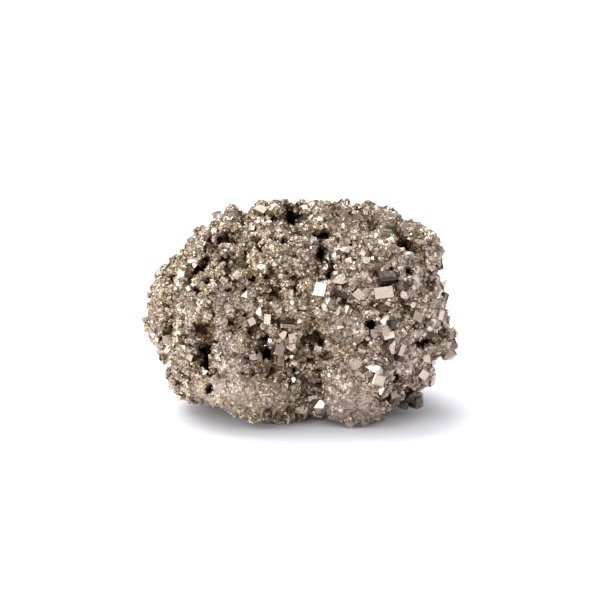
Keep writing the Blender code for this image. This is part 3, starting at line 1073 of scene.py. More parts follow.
@dataclass
class Skin:
    """The surface of the mass as arrays, on which crystals are seeded.

    Args:
        piece: the mass.
        corners: the corners of its triangles.
        hollows: how deep in a hollow each triangle is, from 0 to 1.
        areas: their areas.
        normals: their normals.
    """

    piece: bpy.types.Object
    corners: np.ndarray = field(init=False)
    hollows: np.ndarray = field(init=False)
    areas: np.ndarray = field(init=False)
    normals: np.ndarray = field(init=False)

    def __post_init__(self) -> None:
        """Reads the triangles, their areas, their normals and the hollows."""
        mesh = self.piece.data
        mesh.calc_loop_triangles()
        triangles = np.empty(len(mesh.loop_triangles) * 3, np.int32)
        mesh.loop_triangles.foreach_get("vertices", triangles)
        triangles = triangles.reshape(-1, 3)
        points, _ = Mass.arrays(mesh)
        hollow = np.empty(len(mesh.vertices), np.float32)
        mesh.attributes["hollow"].data.foreach_get("value", hollow)
        self.corners = points[triangles]
        self.hollows = hollow[triangles].mean(axis=1)
        cross = np.cross(self.corners[:, 1] - self.corners[:, 0], self.corners[:, 2] - self.corners[:, 0])
        lengths = np.linalg.norm(cross, axis=1)
        self.areas = lengths / 2.0
        self.normals = cross / np.maximum(lengths, 1e-20)[:, None]

    def seeds(self, draw: np.random.Generator, count: int) -> tuple[np.ndarray, np.ndarray, np.ndarray]:
        """Picks points spread evenly over the surface.

        Args:
            draw: the source of chance.
            count: how many.

        Returns:
            The points, the normals there, and how deep in a hollow each is.
        """
        chosen = draw.choice(len(self.areas), count, p=self.areas / self.areas.sum())
        a, b = draw.random((2, count))
        over = a + b > 1.0
        a[over], b[over] = 1.0 - a[over], 1.0 - b[over]
        weights = np.stack([1.0 - a - b, a, b], axis=1)
        points = np.einsum("nk,nki->ni", weights, self.corners[chosen])
        return points, self.normals[chosen], self.hollows[chosen]


class Sector(Enum):
    """The eight parts of the lump's skin, each of which carries a piece of the druse."""

    FRONT_WEST_LOW = "druse_front_west_low"
    FRONT_WEST_HIGH = "druse_front_west_high"
    FRONT_EAST_LOW = "druse_front_east_low"
    FRONT_EAST_HIGH = "druse_front_east_high"
    BACK_WEST_LOW = "druse_back_west_low"
    BACK_WEST_HIGH = "druse_back_west_high"
    BACK_EAST_LOW = "druse_back_east_low"
    BACK_EAST_HIGH = "druse_back_east_high"

    def holds(self, points: np.ndarray, middle: float) -> np.ndarray:
        """Tells which points are in the sector.

        Args:
            points: points in metres.
            middle: the height that parts the low sectors from the high ones.

        Returns:
            A mask of the points.
        """
        west = points[:, 0] < 0.0
        front = points[:, 1] < 0.0
        low = points[:, 2] < middle
        there = (west == ("WEST" in self.name)) & (front == ("FRONT" in self.name))
        return there & (low == ("LOW" in self.name))


@dataclass
class Druse:
    """The fine grains that cover the mass.

    Args:
        zones: where grains are fine and coarse.
        cover: grains to each square of a grain's size.
        spread: how much sizes vary, as the deviation of their logarithm.
        largest: the largest grain, in millimetres.
        uneven: least and most that a grain's sides are of its size.
        rises: lowest and highest that its middle is above the skin, as shares of its size.
        deep: from where to where, in hollows, grains become few.
        hollow_loss: the share of the grains that the deepest hollows lack.
        apart: how large the larger crystals are taken to be, as a share of their size.
        clear: the share of a leading crystal's face, on each side of its middle, that stays in sight.
        calm_tint: how bright grains are where they're few.
        middle: the height that parts the low sectors from the high ones, in millimetres.
        tries: how many spots are tried.
        habits: each habit's share of the grains.
        seed: picks one of the many layouts.
    """

    zones: Zones
    cover: float = 1.12
    spread: float = 0.46
    largest: float = 1.3
    uneven: Pair = (0.75, 1.25)
    rises: Pair = (-0.46, -0.08)
    deep: Pair = (0.85, 1.0)
    hollow_loss: float = 0.7
    apart: float = 1.08
    clear: float = 0.36
    calm_tint: float = 0.42
    middle: float = 22.0
    tries: int = 180_000
    habits: Habits = ((Habit.CUBE, 0.5), (Habit.CORNER, 0.5))
    seed: int = 11

    def build(
        self, skin: Skin, leading: "LeadingCrystals", larger: Sequence[Batch]
    ) -> list[bpy.types.Object]:
        """Grows the druse.

        Args:
            skin: the surface that carries it.
            leading: the large crystals of the front, which it leaves in sight.
            larger: every crystal that it only fills the gaps between.

        Returns:
            One object for each sector of the lump.
        """
        draw = np.random.default_rng(self.seed)
        points, normals, hollows = skin.seeds(draw, self.tries)
        usual = self.zones.grain_at(points)
        area = skin.areas.sum() / MM**2
        wanted = self.cover * area / usual**2 / self.tries
        wanted *= 1.0 - self.hollow_loss * smooth_step(*self.deep, hollows)
        calm = self.zones.calm_at(points)
        wanted *= 1.0 - calm
        keep = draw.random(self.tries) < wanted
        keep &= ~leading.hidden_by(points, self.clear)
        keep[keep] &= ~covered(points[keep], larger, self.apart)
        points, normals, hollows = points[keep], normals[keep], hollows[keep]
        usual, calm = usual[keep], calm[keep]
        count = len(points)
        sizes = np.minimum(usual * np.exp(self.spread * draw.normal(size=count)), self.largest) * MM
        rises = draw.uniform(*self.rises, count) * sizes
        places = points + normals * rises[:, None]
        sides = sizes[:, None] * draw.uniform(*self.uneven, (count, 3))
        turns = random_turns(draw, count)
        tints = draw.random(count)
        tints += (self.calm_tint - tints) * calm
        # Grains in hollows and in brown patches are painted darker, partly as patina and partly as shade.
        tarnish_and_shade = np.clip(hollows + self.zones.tarnish_and_shade_at(points), 0.0, 1.0)
        batches = by_habit(draw, self.habits, places, turns, sides, tints, tarnish_and_shade)
        middle = self.middle * MM
        return [
            joined(sector.value, [batch.where(sector.holds(batch.places, middle)) for batch in batches])
            for sector in Sector
        ]


# ---------------------------------------------------------------------------------------------------
# The larger crystals


@dataclass
class CoarseCrystals:
    """Crystals larger than the druse, grown shoulder to shoulder in the east and few in the west.

    Args:
        zones: where they are many.
        sizes: smallest and largest, in millimetres.
        rarity: how rare large ones are, as the power that a draw of their size is raised to.
        uneven: least and most that a crystal's sides are of its size.
        tries: how many spots are tried.
        crowding: least distance between two, as a share of their mean size.
        apart: how large the leading crystals are taken to be, as a share of their size.
        clear: the share of a leading crystal's face, on each side of its middle, that stays in sight.
        deepest: how deep in a hollow they grow, from 0 to 1.
        cavity_margin: how far from the dark holes they stay, in millimetres.
        cavity_rim: how far in a hole, so widened, they still grow, from 0 to 1.
        sinks: how far their middles lie below the skin, as shares of their size.
        hollow_shade: the share of a hollow's painted darkness that they take on.
        blackened: the share of them painted very dark, as faces that mirror the dark of the room.
        black: how dark those are painted, from 0 to 1.
        habits: each habit's share of them.
        seed: picks one of the many layouts.
        name: the piece's name.
    """

    zones: Zones
    sizes: Pair = (0.9, 2.4)
    rarity: float = 2.8
    uneven: Pair = (0.65, 1.2)
    tries: int = 16_000
    crowding: float = 0.48
    apart: float = 1.25
    clear: float = 0.62
    deepest: float = 0.7
    cavity_margin: float = 0.7
    cavity_rim: float = 0.1
    sinks: Pair = (0.3, 0.52)
    hollow_shade: float = 0.5
    blackened: float = 0.08
    black: Pair = (0.8, 1.0)
    habits: Habits = (
        (Habit.EDGED_CUBE, 0.16),
        (Habit.STEPPED_CUBE, 0.06),
        (Habit.PYRITOHEDRON, 0.12),
        (Habit.CHIPPED_CUBE, 0.18),
        (Habit.SHARD_LOW, 0.16),
        (Habit.SHARD_TALL, 0.16),
        (Habit.SHARD_WIDE, 0.16),
    )
    seed: int = 5
    name: str = "coarse_crystals"

    def grown(self, skin: Skin, leading: "LeadingCrystals") -> list[Batch]:
        """Grows the crystals.

        Args:
            skin: the surface that carries them.
            leading: the large crystals of the front, which they leave in sight.

        Returns:
            The crystals, one batch for each habit.
        """
        draw = np.random.default_rng(self.seed)
        points, normals, hollows = skin.seeds(draw, self.tries)
        sizes = self.sizes[0] + (self.sizes[1] - self.sizes[0]) * draw.random(self.tries) ** self.rarity
        likely = self.zones.coarse_at(points)
        wanted = (draw.random(self.tries) < likely) & (hollows < self.deepest)
        wanted &= self.zones.cavity_at(points, self.cavity_margin)[0] < self.cavity_rim
        wanted &= ~leading.hidden_by(points, self.clear) & ~covered(points, leading.batches, self.apart)
        kept = self.thrown(points, sizes, wanted)
        points, normals, hollows, sizes = points[kept], normals[kept], hollows[kept], sizes[kept] * MM
        count = len(points)
        places = points - normals * (sizes * draw.uniform(*self.sinks, count))[:, None]
        sides = sizes[:, None] * draw.uniform(*self.uneven, (count, 3))
        turns = random_turns(draw, count)
        tints = draw.random(count)
        # Some crystals are painted very dark: painted reflections of the dark room, not their own colour.
        black = np.where(draw.random(count) < self.blackened, draw.uniform(*self.black, count), 0.0)
        tarnish_and_shade = np.clip(self.hollow_shade * hollows + self.zones.tarnish_and_shade_at(points) + black, 0.0, 1.0)
        return by_habit(draw, self.habits, places, turns, sides, tints, tarnish_and_shade)

    def thrown(self, points: np.ndarray, sizes: np.ndarray, wanted: np.ndarray) -> list[int]:
        """Finds room for crystals, taken in turn: each keeps its distance from those before it.

        Args:
            points: where they would stand.
            sizes: their sizes, in millimetres.
            wanted: a mask of those that are tried.

        Returns:
            The numbers of those that find room.
        """
        cell = self.sizes[1] * MM
        steps = (-1, 0, 1)
        taken: dict[tuple[int, int, int], list[int]] = {}
        kept = []
        for index in np.flatnonzero(wanted):
            home = tuple(int(value) for value in points[index] // cell)
            around = [(home[0] + x, home[1] + y, home[2] + z) for x in steps for y in steps for z in steps]
            near = [other for place in around for other in taken.get(place, ())]
            apart = [self.crowding * (sizes[index] + sizes[other]) / 2.0 * MM for other in near]
            away = [np.linalg.norm(points[index] - points[other]) for other in near]
            if all(distance > least for distance, least in zip(away, apart)):
                kept.append(int(index))
                taken.setdefault(home, []).append(int(index))
        return kept


@dataclass(frozen=True)
class Crystal:
    """One of the crystals that the eye picks out on the front.

    Args:
        place: where it shows on the chart.
        sides: width, height and depth in millimetres.
        turn: pitch, roll and yaw in degrees; with no turn a face looks straight out.
        habit: its habit.
        tint: how bright its faces are painted, from 0 to 1; set crystal by crystal to the light or shade its
            faces show, so partly painted light and shade.
        sink: how far its middle lies behind the solid's surface, as a share of its depth.
        gleam: the softbox that its front face mirrors to the chart's eye, in place of pitch and yaw.
        painted_shade: how dark its faces are painted, as shade and dark reflections, from 0 to 1.
    """

    place: Pair
    sides: Triple
    turn: Triple
    habit: Habit = Habit.EDGED_CUBE
    tint: float = 0.6
    sink: float = 0.45
    gleam: str = ""
    painted_shade: float = 0.0


@dataclass
class LeadingCrystals:
    """The large crystals of the front, each named and placed on the chart.

    Args:
        chart: the chart of the front.
        lights: where each softbox hangs, in metres.
        tree: the solid's surface, which carries them.
        name: the piece's name.
        batches: the crystals, each a batch of its own.
    """

    chart: FrontChart
    lights: dict[str, Vector]
    tree: BVHTree
    name: str = "leading_crystals"
    batches: list[Batch] = field(init=False)

    def __post_init__(self) -> None:
        """Sets each crystal in the surface at its place on the chart."""
        self.batches = [self.set_in(crystal) for crystal in CRYSTALS_IN_FRONT.values()]

    def set_in(self, crystal: Crystal) -> Batch:
        """Sets one crystal in the surface.

        Args:
            crystal: the crystal.

        Returns:
            A batch of it alone.
        """
        width, height, depth = crystal.sides
        _, _, inwards = self.chart.axes()
        place = self.chart.hit(self.tree, crystal.place) + inwards * (depth * crystal.sink * MM)
        return Batch(
            Pattern.of(crystal.habit),
            np.array([place]),
            np.array([self.turn_of(crystal, place)]),
            np.array([[width, depth, height]]) * MM,
            np.array([crystal.tint]),
            # The painted shade is carried like a deep hollow, which the finish paints dark.
            np.array([crystal.painted_shade]),
        )

    def turn_of(self, crystal: Crystal, place: Vector) -> Matrix:
        """Works out a crystal's turn: rolled in its face, then pitched and turned aside.

        Args:
            crystal: the crystal.
            place: its centre, in metres.

        Returns:
            Its turn as a 3 by 3 matrix.
        """
        pitch, roll, yaw = (math.radians(angle) for angle in crystal.turn)
        facing = self.chart.facing()
        if crystal.gleam:
            to_eye = (self.chart.eye() - place).normalized()
            to_light = (self.lights[crystal.gleam] - place).normalized()
            face = facing.transposed() @ (to_eye + to_light).normalized()
            pitch, yaw = -math.asin(face.z), math.atan2(face.x, -face.y)
        rolled = Matrix.Rotation(roll, 3, "Y")
        return facing @ Matrix.Rotation(yaw, 3, "Z") @ Matrix.Rotation(pitch, 3, "X") @ rolled

    def hidden_by(self, points: np.ndarray, clear: float) -> np.ndarray:
        """Finds the points that stand before a large crystal's face, seen from the chart's eye.

        Args:
            points: the points, in metres.
            clear: the share of its face on each side of its middle that is kept clear.

        Returns:
            A mask of the points.
        """
        across, height = self.chart.places_of(points)
        inwards = np.array(self.chart.axes()[2])
        depth = points @ inwards
        hides = np.zeros(len(points), bool)
        for crystal, batch in zip(CRYSTALS_IN_FRONT.values(), self.batches):
            width, tall, _ = (clear * side for side in crystal.sides)
            near = np.abs(across - crystal.place[0]) < width
            near &= np.abs(height - crystal.place[1]) < tall
            hides |= near & (depth < float(batch.places[0] @ inwards))
        return hides


# Tints and painted shade are set crystal by crystal to how light or dark each face shows: partly painted
# light and shade, beside the turns that make some faces mirror a softbox.
CRYSTALS_IN_FRONT: dict[str, Crystal] = {
    # the east cluster
    "great_cube": Crystal((19.0, 2.0), (4.1, 2.5, 3.8), (10, -7, -12), tint=0.4),
    "great_shadow": Crystal(
        (19.4, 4.6), (4.0, 2.4, 3.0), (-40, -6, 8), Habit.STEPPED_CUBE, 0.1, 0.4, painted_shade=0.8
    ),
    "great_neighbour": Crystal((22.4, 2.9), (1.9, 1.8, 3.0), (-14, 12, 52), tint=0.0, sink=0.3, painted_shade=0.95),
    "great_small": Crystal((23.5, 1.4), (1.9, 1.9, 2.0), (6, 30, -16), Habit.SHARD_WIDE, 0.8, sink=0.3),
    "bright_cube": Crystal((4.8, 1.9), (2.5, 2.9, 3.0), (0, 10, 0), tint=0.9, gleam="key"),
    "bright_neighbour": Crystal((5.2, -1.2), (1.4, 1.8, 1.8), (8, 24, 0), Habit.SHARD_TALL, 0.9, sink=0.3),
    "striped_slab": Crystal((8.8, 4.6), (3.3, 2.1, 3.0), (6, -16, -12), Habit.CHIPPED_CUBE, 0.6, 0.5),
    "high_slab": Crystal((9.8, 10.9), (2.2, 1.4, 2.0), (0, -14, 0), Habit.CHIPPED_CUBE, 0.9, gleam="right"),
    "high_glint": Crystal(
        (16.9, 14.2), (1.0, 1.3, 1.4), (0, 20, 0), Habit.SHARD_LOW, 1.0, sink=0.3, gleam="key"
    ),
    "cluster_rise": Crystal((14.2, 8.9), (1.8, 1.8, 2.2), (0, 20, 0), Habit.SHARD_LOW, 0.9, gleam="right"),
    "cluster_fall": Crystal((14.6, 6.6), (2.0, 2.0, 2.4), (-20, 30, 14), Habit.SHARD_WIDE, 0.9),
    "slope_cube": Crystal((18.9, -5.2), (1.3, 1.8, 2.8), (0, 8, 0), Habit.CHIPPED_CUBE, 1.0, gleam="key"),
    "slope_shadow": Crystal((20.2, -5.3), (1.4, 1.8, 2.0), (10, -6, 40), tint=0.0, sink=0.3, painted_shade=1.0),
    "step_slab": Crystal((20.0, -7.8), (2.3, 1.4, 2.4), (4, -16, -10), tint=0.75),
    "blue_twin": Crystal((20.9, -10.4), (1.3, 2.9, 2.4), (4, 14, -24), Habit.CHIPPED_CUBE, 0.5),
    "blue_twin_low": Crystal((22.3, -11.0), (1.2, 2.6, 2.4), (8, 18, 20), Habit.EDGED_CUBE, 0.3),
    "white_step": Crystal((16.4, -15.6), (3.2, 1.6, 2.6), (0, 14, 0), Habit.CHIPPED_CUBE, 1.0, 0.35, "key"),
    "white_step_low": Crystal((17.0, -17.6), (2.6, 2.4, 2.6), (10, 14, 30), Habit.STEPPED_CUBE, 0.6, 0.35),
    "flat_grey": Crystal((12.0, -14.2), (2.6, 2.4, 2.6), (4, 24, 6), Habit.CHIPPED_CUBE, 0.45, 0.48),
    "flat_grey_low": Crystal((13.6, -11.2), (2.2, 2.4, 2.2), (14, 30, -16), Habit.SHARD_LOW, 0.4, sink=0.3),
    "east_block": Crystal((18.2, -20.2), (1.5, 2.3, 2.4), (0, 24, 0), Habit.SHARD_TALL, 0.9, gleam="key"),
    "east_block_mid": Crystal((20.2, -20.8), (1.7, 1.6, 2.2), (10, -20, 40), tint=0.1, sink=0.3, painted_shade=0.5),
    "east_block_far": Crystal((22.7, -20.5), (1.5, 1.3, 2.4), (0, 6, 0), Habit.SHARD_WIDE, 0.9, gleam="key"),
    "corner_block": Crystal(
        (24.6, -21.8), (2.6, 2.3, 2.6), (-8, 20, 30), Habit.CHIPPED_CUBE, 0.1, 0.45, painted_shade=0.8
    ),
    "corner_tip": Crystal(
        (25.8, -22.6), (2.2, 2.4, 2.4), (12, -18, 44), Habit.STEPPED_CUBE, 0.2, 0.5, painted_shade=0.7
    ),
    "corner_low": Crystal(
        (23.0, -23.2), (2.4, 1.6, 2.4), (14, 8, -12), Habit.CHIPPED_CUBE, 0.15, 0.5, painted_shade=0.75
    ),
    "flank_face": Crystal((25.6, -4.0), (2.2, 2.0, 2.4), (-14, 26, 34), tint=0.4),
    "flank_low": Crystal((27.0, -16.4), (2.2, 2.0, 2.4), (12, 34, 26), tint=0.7),
    "east_edge": Crystal((31.4, 3.4), (1.2, 2.2, 2.4), (0, 16, 0), Habit.CHIPPED_CUBE, 0.9, gleam="right"),
    "east_dark": Crystal((32.4, 0.8), (1.6, 2.6, 2.4), (6, 20, 50), Habit.EDGED_CUBE, 0.1, 0.4, painted_shade=0.8),
    "brow_corner": Crystal((28.4, 7.0), (1.8, 1.1, 2.0), (0, 20, 0), Habit.CHIPPED_CUBE, 0.8, gleam="right"),
    "cluster_middle": Crystal((12.8, 1.6), (2.2, 2.0, 2.2), (20, 40, 14), tint=0.4),
    "cluster_east": Crystal((24.6, -0.8), (2.4, 2.0, 2.4), (10, 14, -30), Habit.PYRITOHEDRON, 0.6),
    "boss_corner": Crystal((8.0, -8.4), (2.0, 1.8, 2.0), (-16, 44, 18), tint=0.5),
    # the trough and the window
    "trough_white": Crystal((4.7, -23.8), (2.7, 2.0, 2.6), (0, -26, 0), Habit.CHIPPED_CUBE, 1.0, 0.3, "key"),
    "trough_grey": Crystal((0.2, -24.6), (2.6, 1.7, 2.4), (-12, 14, 6), Habit.CHIPPED_CUBE, 0.8, 0.3),
    "trough_bar": Crystal((2.8, -21.8), (2.2, 0.8, 2.0), (-8, -10, 4), tint=0.7, painted_shade=0.3),
    "trough_left": Crystal(
        (-1.4, -17.8), (1.1, 1.3, 1.4), (0, 20, 0), Habit.SHARD_TALL, 1.0, sink=0.3, gleam="key"
    ),
    "trough_low": Crystal((-1.8, -19.4), (1.1, 1.5, 1.4), (-6, 30, 20), Habit.SHARD_TALL, 0.8, sink=0.3),
    "window_cube": Crystal((-5.0, -11.2), (2.0, 2.4, 2.4), (-6, 20, 24), Habit.CUT_CUBE, 0.5, 0.3),
    "window_rise": Crystal(
        (-6.4, -9.2), (1.1, 1.1, 1.4), (0, 30, 0), Habit.SHARD_WIDE, 0.8, sink=0.3, gleam="key"
    ),
    "long_crystal": Crystal((-2.8, -6.0), (3.1, 0.9, 2.2), (-10, 4, 10), tint=0.6),
    "long_shadow": Crystal((-3.1, -5.1), (3.0, 1.1, 2.0), (-30, 4, 10), tint=0.1, painted_shade=1.0),
    "bridge_pair": Crystal((-3.7, -7.6), (1.6, 2.0, 2.0), (12, 14, -12), Habit.CHIPPED_CUBE, 0.5),
    "bridge_pair_east": Crystal((-2.0, -8.2), (1.5, 2.0, 2.0), (14, -12, 18), tint=0.4),
    "bridge_white": Crystal(
        (-2.0, -12.7), (1.3, 0.9, 1.2), (0, 14, 0), Habit.SHARD_LOW, 1.0, sink=0.3, gleam="key"
    ),
    "middle_point": Crystal((0.2, -4.6), (1.3, 1.3, 1.4), (10, 44, -14), Habit.SHARD_WIDE, 0.9, sink=0.3),
    # the west
    "dome_white": Crystal((-9.0, -3.0), (1.2, 1.9, 1.8), (0, -14, 0), Habit.CHIPPED_CUBE, 1.0, gleam="key"),
    "dome_brown": Crystal((-6.8, -4.2), (1.6, 2.2, 2.0), (6, 8, -28), tint=0.4),
    "dome_far": Crystal((-11.0, -4.6), (1.5, 1.7, 1.8), (10, -30, 20), tint=0.45, sink=0.3),
    "west_white": Crystal((-21.2, -16.2), (1.5, 1.3, 1.8), (0, 24, 0), Habit.SHARD_LOW, 1.0, gleam="key"),
    "west_high": Crystal(
        (-23.4, 7.6), (1.2, 1.1, 1.4), (0, 34, 0), Habit.SHARD_TALL, 1.0, sink=0.3, gleam="key"
    ),
    "low_square": Crystal((-10.8, -12.6), (1.6, 1.5, 1.8), (4, -10, 20), tint=0.6),
    "ridge_slab": Crystal(
        (1.0, 20.4), (1.4, 1.2, 1.6), (0, 24, 0), Habit.CHIPPED_CUBE, 0.9, sink=0.3, gleam="key"
    ),
}


# ---------------------------------------------------------------------------------------------------
# Finishes

Socket = bpy.types.NodeSocket
WHOLE: Pair = (0.0, 1.0)


@dataclass(frozen=True)
class Colours:
    """The colours of the metal, as linear red, green and blue.

    Args:
        pale: the brightest faces.
        usual: most faces.
        rosy: the rosy areas.
        golden: the golden areas.
        dark: the dimmest faces.
        tarnish_and_shade: warm brown, painted into hollows partly as real patina and partly as shade.
        grey: cold grey for crystals, painted as shade and dark reflections, partly as patina.
        soot: the darkest cold colour, painted shade and dark reflections.
        black: the darkest warm colour, painted shade in the deepest hollows.
    """

    pale: Triple = (0.74, 0.66, 0.57)
    usual: Triple = (0.57, 0.465, 0.36)
    rosy: Triple = (0.50, 0.41, 0.36)
    golden: Triple = (0.60, 0.49, 0.32)
    dark: Triple = (0.18, 0.13, 0.08)
    tarnish_and_shade: Triple = (0.2, 0.125, 0.05)
    grey: Triple = (0.17, 0.13, 0.10)
    soot: Triple = (0.085, 0.068, 0.055)
    black: Triple = (0.035, 0.018, 0.006)


@dataclass(frozen=True)
class Clouds:
    """Soft noise that is turned into another range.

    Args:
        scale: how small the clouds are.
        reach: the values of the noise at which the range ends.
        ends: the ends of the range.
        detail: how finely the clouds are structured.
    """

    scale: float
    reach: Pair
    ends: Pair = WHOLE
    detail: float = 3.0


class Nodes:
    """A node tree being built, with short ways to add and join nodes."""

    def __init__(self, tree: bpy.types.NodeTree) -> None:
        """Starts on a tree."""
        self.tree = tree

    def add(self, kind: str, **settings: object) -> bpy.types.Node:
        """Adds a node.

        Args:
            kind: the node's type.
            settings: its settings by name.

        Returns:
            The node.
        """
        node = self.tree.nodes.new(kind)
        for key, value in settings.items():
            setattr(node, key, value)
        return node

    def join(self, source: Socket, target: Socket) -> None:
        """Joins an output to an input."""
        self.tree.links.new(source, target)

    def feed(self, target: Socket, value: object) -> None:
        """Feeds an input.

        Args:
            target: the input.
            value: a number or a colour to set it to, or an output to join it to.
        """
        if isinstance(value, Socket):
            self.join(value, target)
        else:
            target.default_value = value

    def maths(self, operation: str, first: object, second: object) -> Socket:
        """Adds one step of arithmetic.

        Args:
            operation: the kind of step.
            first: the first number, or an output.
            second: the second number, or an output.

        Returns:
            The result.
        """
        node = self.add("ShaderNodeMath", operation=operation)
        self.feed(node.inputs[0], first)
        self.feed(node.inputs[1], second)
        return node.outputs[0]

    def ranged(self, value: object, reach: Pair, ends: Pair = WHOLE) -> Socket:
        """Turns a value from one range into another, and stops at its ends.

        Args:
            value: the value.
            reach: the range it comes from.
            ends: the range it goes to.

        Returns:
            The result.
        """
        node = self.add("ShaderNodeMapRange", clamp=True)
        self.feed(node.inputs["Value"], value)
        node.inputs["From Min"].default_value, node.inputs["From Max"].default_value = reach
        node.inputs["To Min"].default_value, node.inputs["To Max"].default_value = ends
        return node.outputs["Result"]

    def blend(self, share: object, first: object, second: object) -> Socket:
        """Blends two colours.

        Args:
            share: the share of the second.
            first: the first colour.
            second: the second colour.

        Returns:
            The blend.
        """
        node = self.add("ShaderNodeMix", data_type="RGBA")
        self.feed(node.inputs[0], share)
        self.feed(node.inputs[6], first)
        self.feed(node.inputs[7], second)
        return node.outputs[2]

    def either(self, share: object, first: object, second: object) -> Socket:
        """Blends two numbers.

        Args:
            share: the share of the second.
            first: the first number.
            second: the second number.

        Returns:
            The blend.
        """
        node = self.add("ShaderNodeMix", data_type="FLOAT")
        self.feed(node.inputs[0], share)
        self.feed(node.inputs[2], first)
        self.feed(node.inputs[3], second)
        return node.outputs[0]

    def value(self, name: str) -> Socket:
        """Reads a number that is stored on the mesh."""
        return self.add("ShaderNodeAttribute", attribute_name=name).outputs["Fac"]

    def noise(self, where: Socket, scale: float, detail: float = 3.0) -> Socket:
        """Adds cloudy noise.

        Args:
            where: the place it is read at.
            scale: how small its clouds are.
            detail: how finely they are structured.

        Returns:
            The noise, from 0 to 1.
        """
        node = self.add("ShaderNodeTexNoise")
        self.feed(node.inputs["Vector"], where)
        node.inputs["Scale"].default_value = scale
        node.inputs["Detail"].default_value = detail
        return node.outputs["Fac"]

    def clouded(self, where: Socket, clouds: Clouds) -> Socket:
        """Adds clouds, read at a place."""
        return self.ranged(self.noise(where, clouds.scale, clouds.detail), clouds.reach, clouds.ends)

    def vectors(self, operation: str, first: Socket, second: object) -> bpy.types.Node:
        """Adds one step of arithmetic with vectors.

        Args:
            operation: the kind of step.
            first: the first vector, an output.
            second: the second vector, or an output.

        Returns:
            The node.
        """
        node = self.add("ShaderNodeVectorMath", operation=operation)
        self.join(first, node.inputs[0])
        self.feed(node.inputs[1], second)
        return node


def rgba(colour: Sequence[float]) -> tuple[float, float, float, float]:
    """Adds full alpha to a colour."""
    return (colour[0], colour[1], colour[2], 1.0)


def new_group(
    name: str, inputs: Sequence[tuple[str, str, object]], outputs: Sequence[tuple[str, str]]
) -> Nodes:
    """Makes a shader node group.

    Args:
        name: the group's name.
        inputs: name, socket kind and default of each input.
        outputs: name and socket kind of each output.

    Returns:
        The group's tree, with its input and output nodes added.
    """
    tree = bpy.data.node_groups.new(name, "ShaderNodeTree")
    for label, kind, default in inputs:
        socket = tree.interface.new_socket(label, in_out="INPUT", socket_type=kind)
        socket.default_value = default
    for label, kind in outputs:
        tree.interface.new_socket(label, in_out="OUTPUT", socket_type=kind)
    nodes = Nodes(tree)
    nodes.add("NodeGroupInput", name="in")
    nodes.add("NodeGroupOutput", name="out")
    return nodes


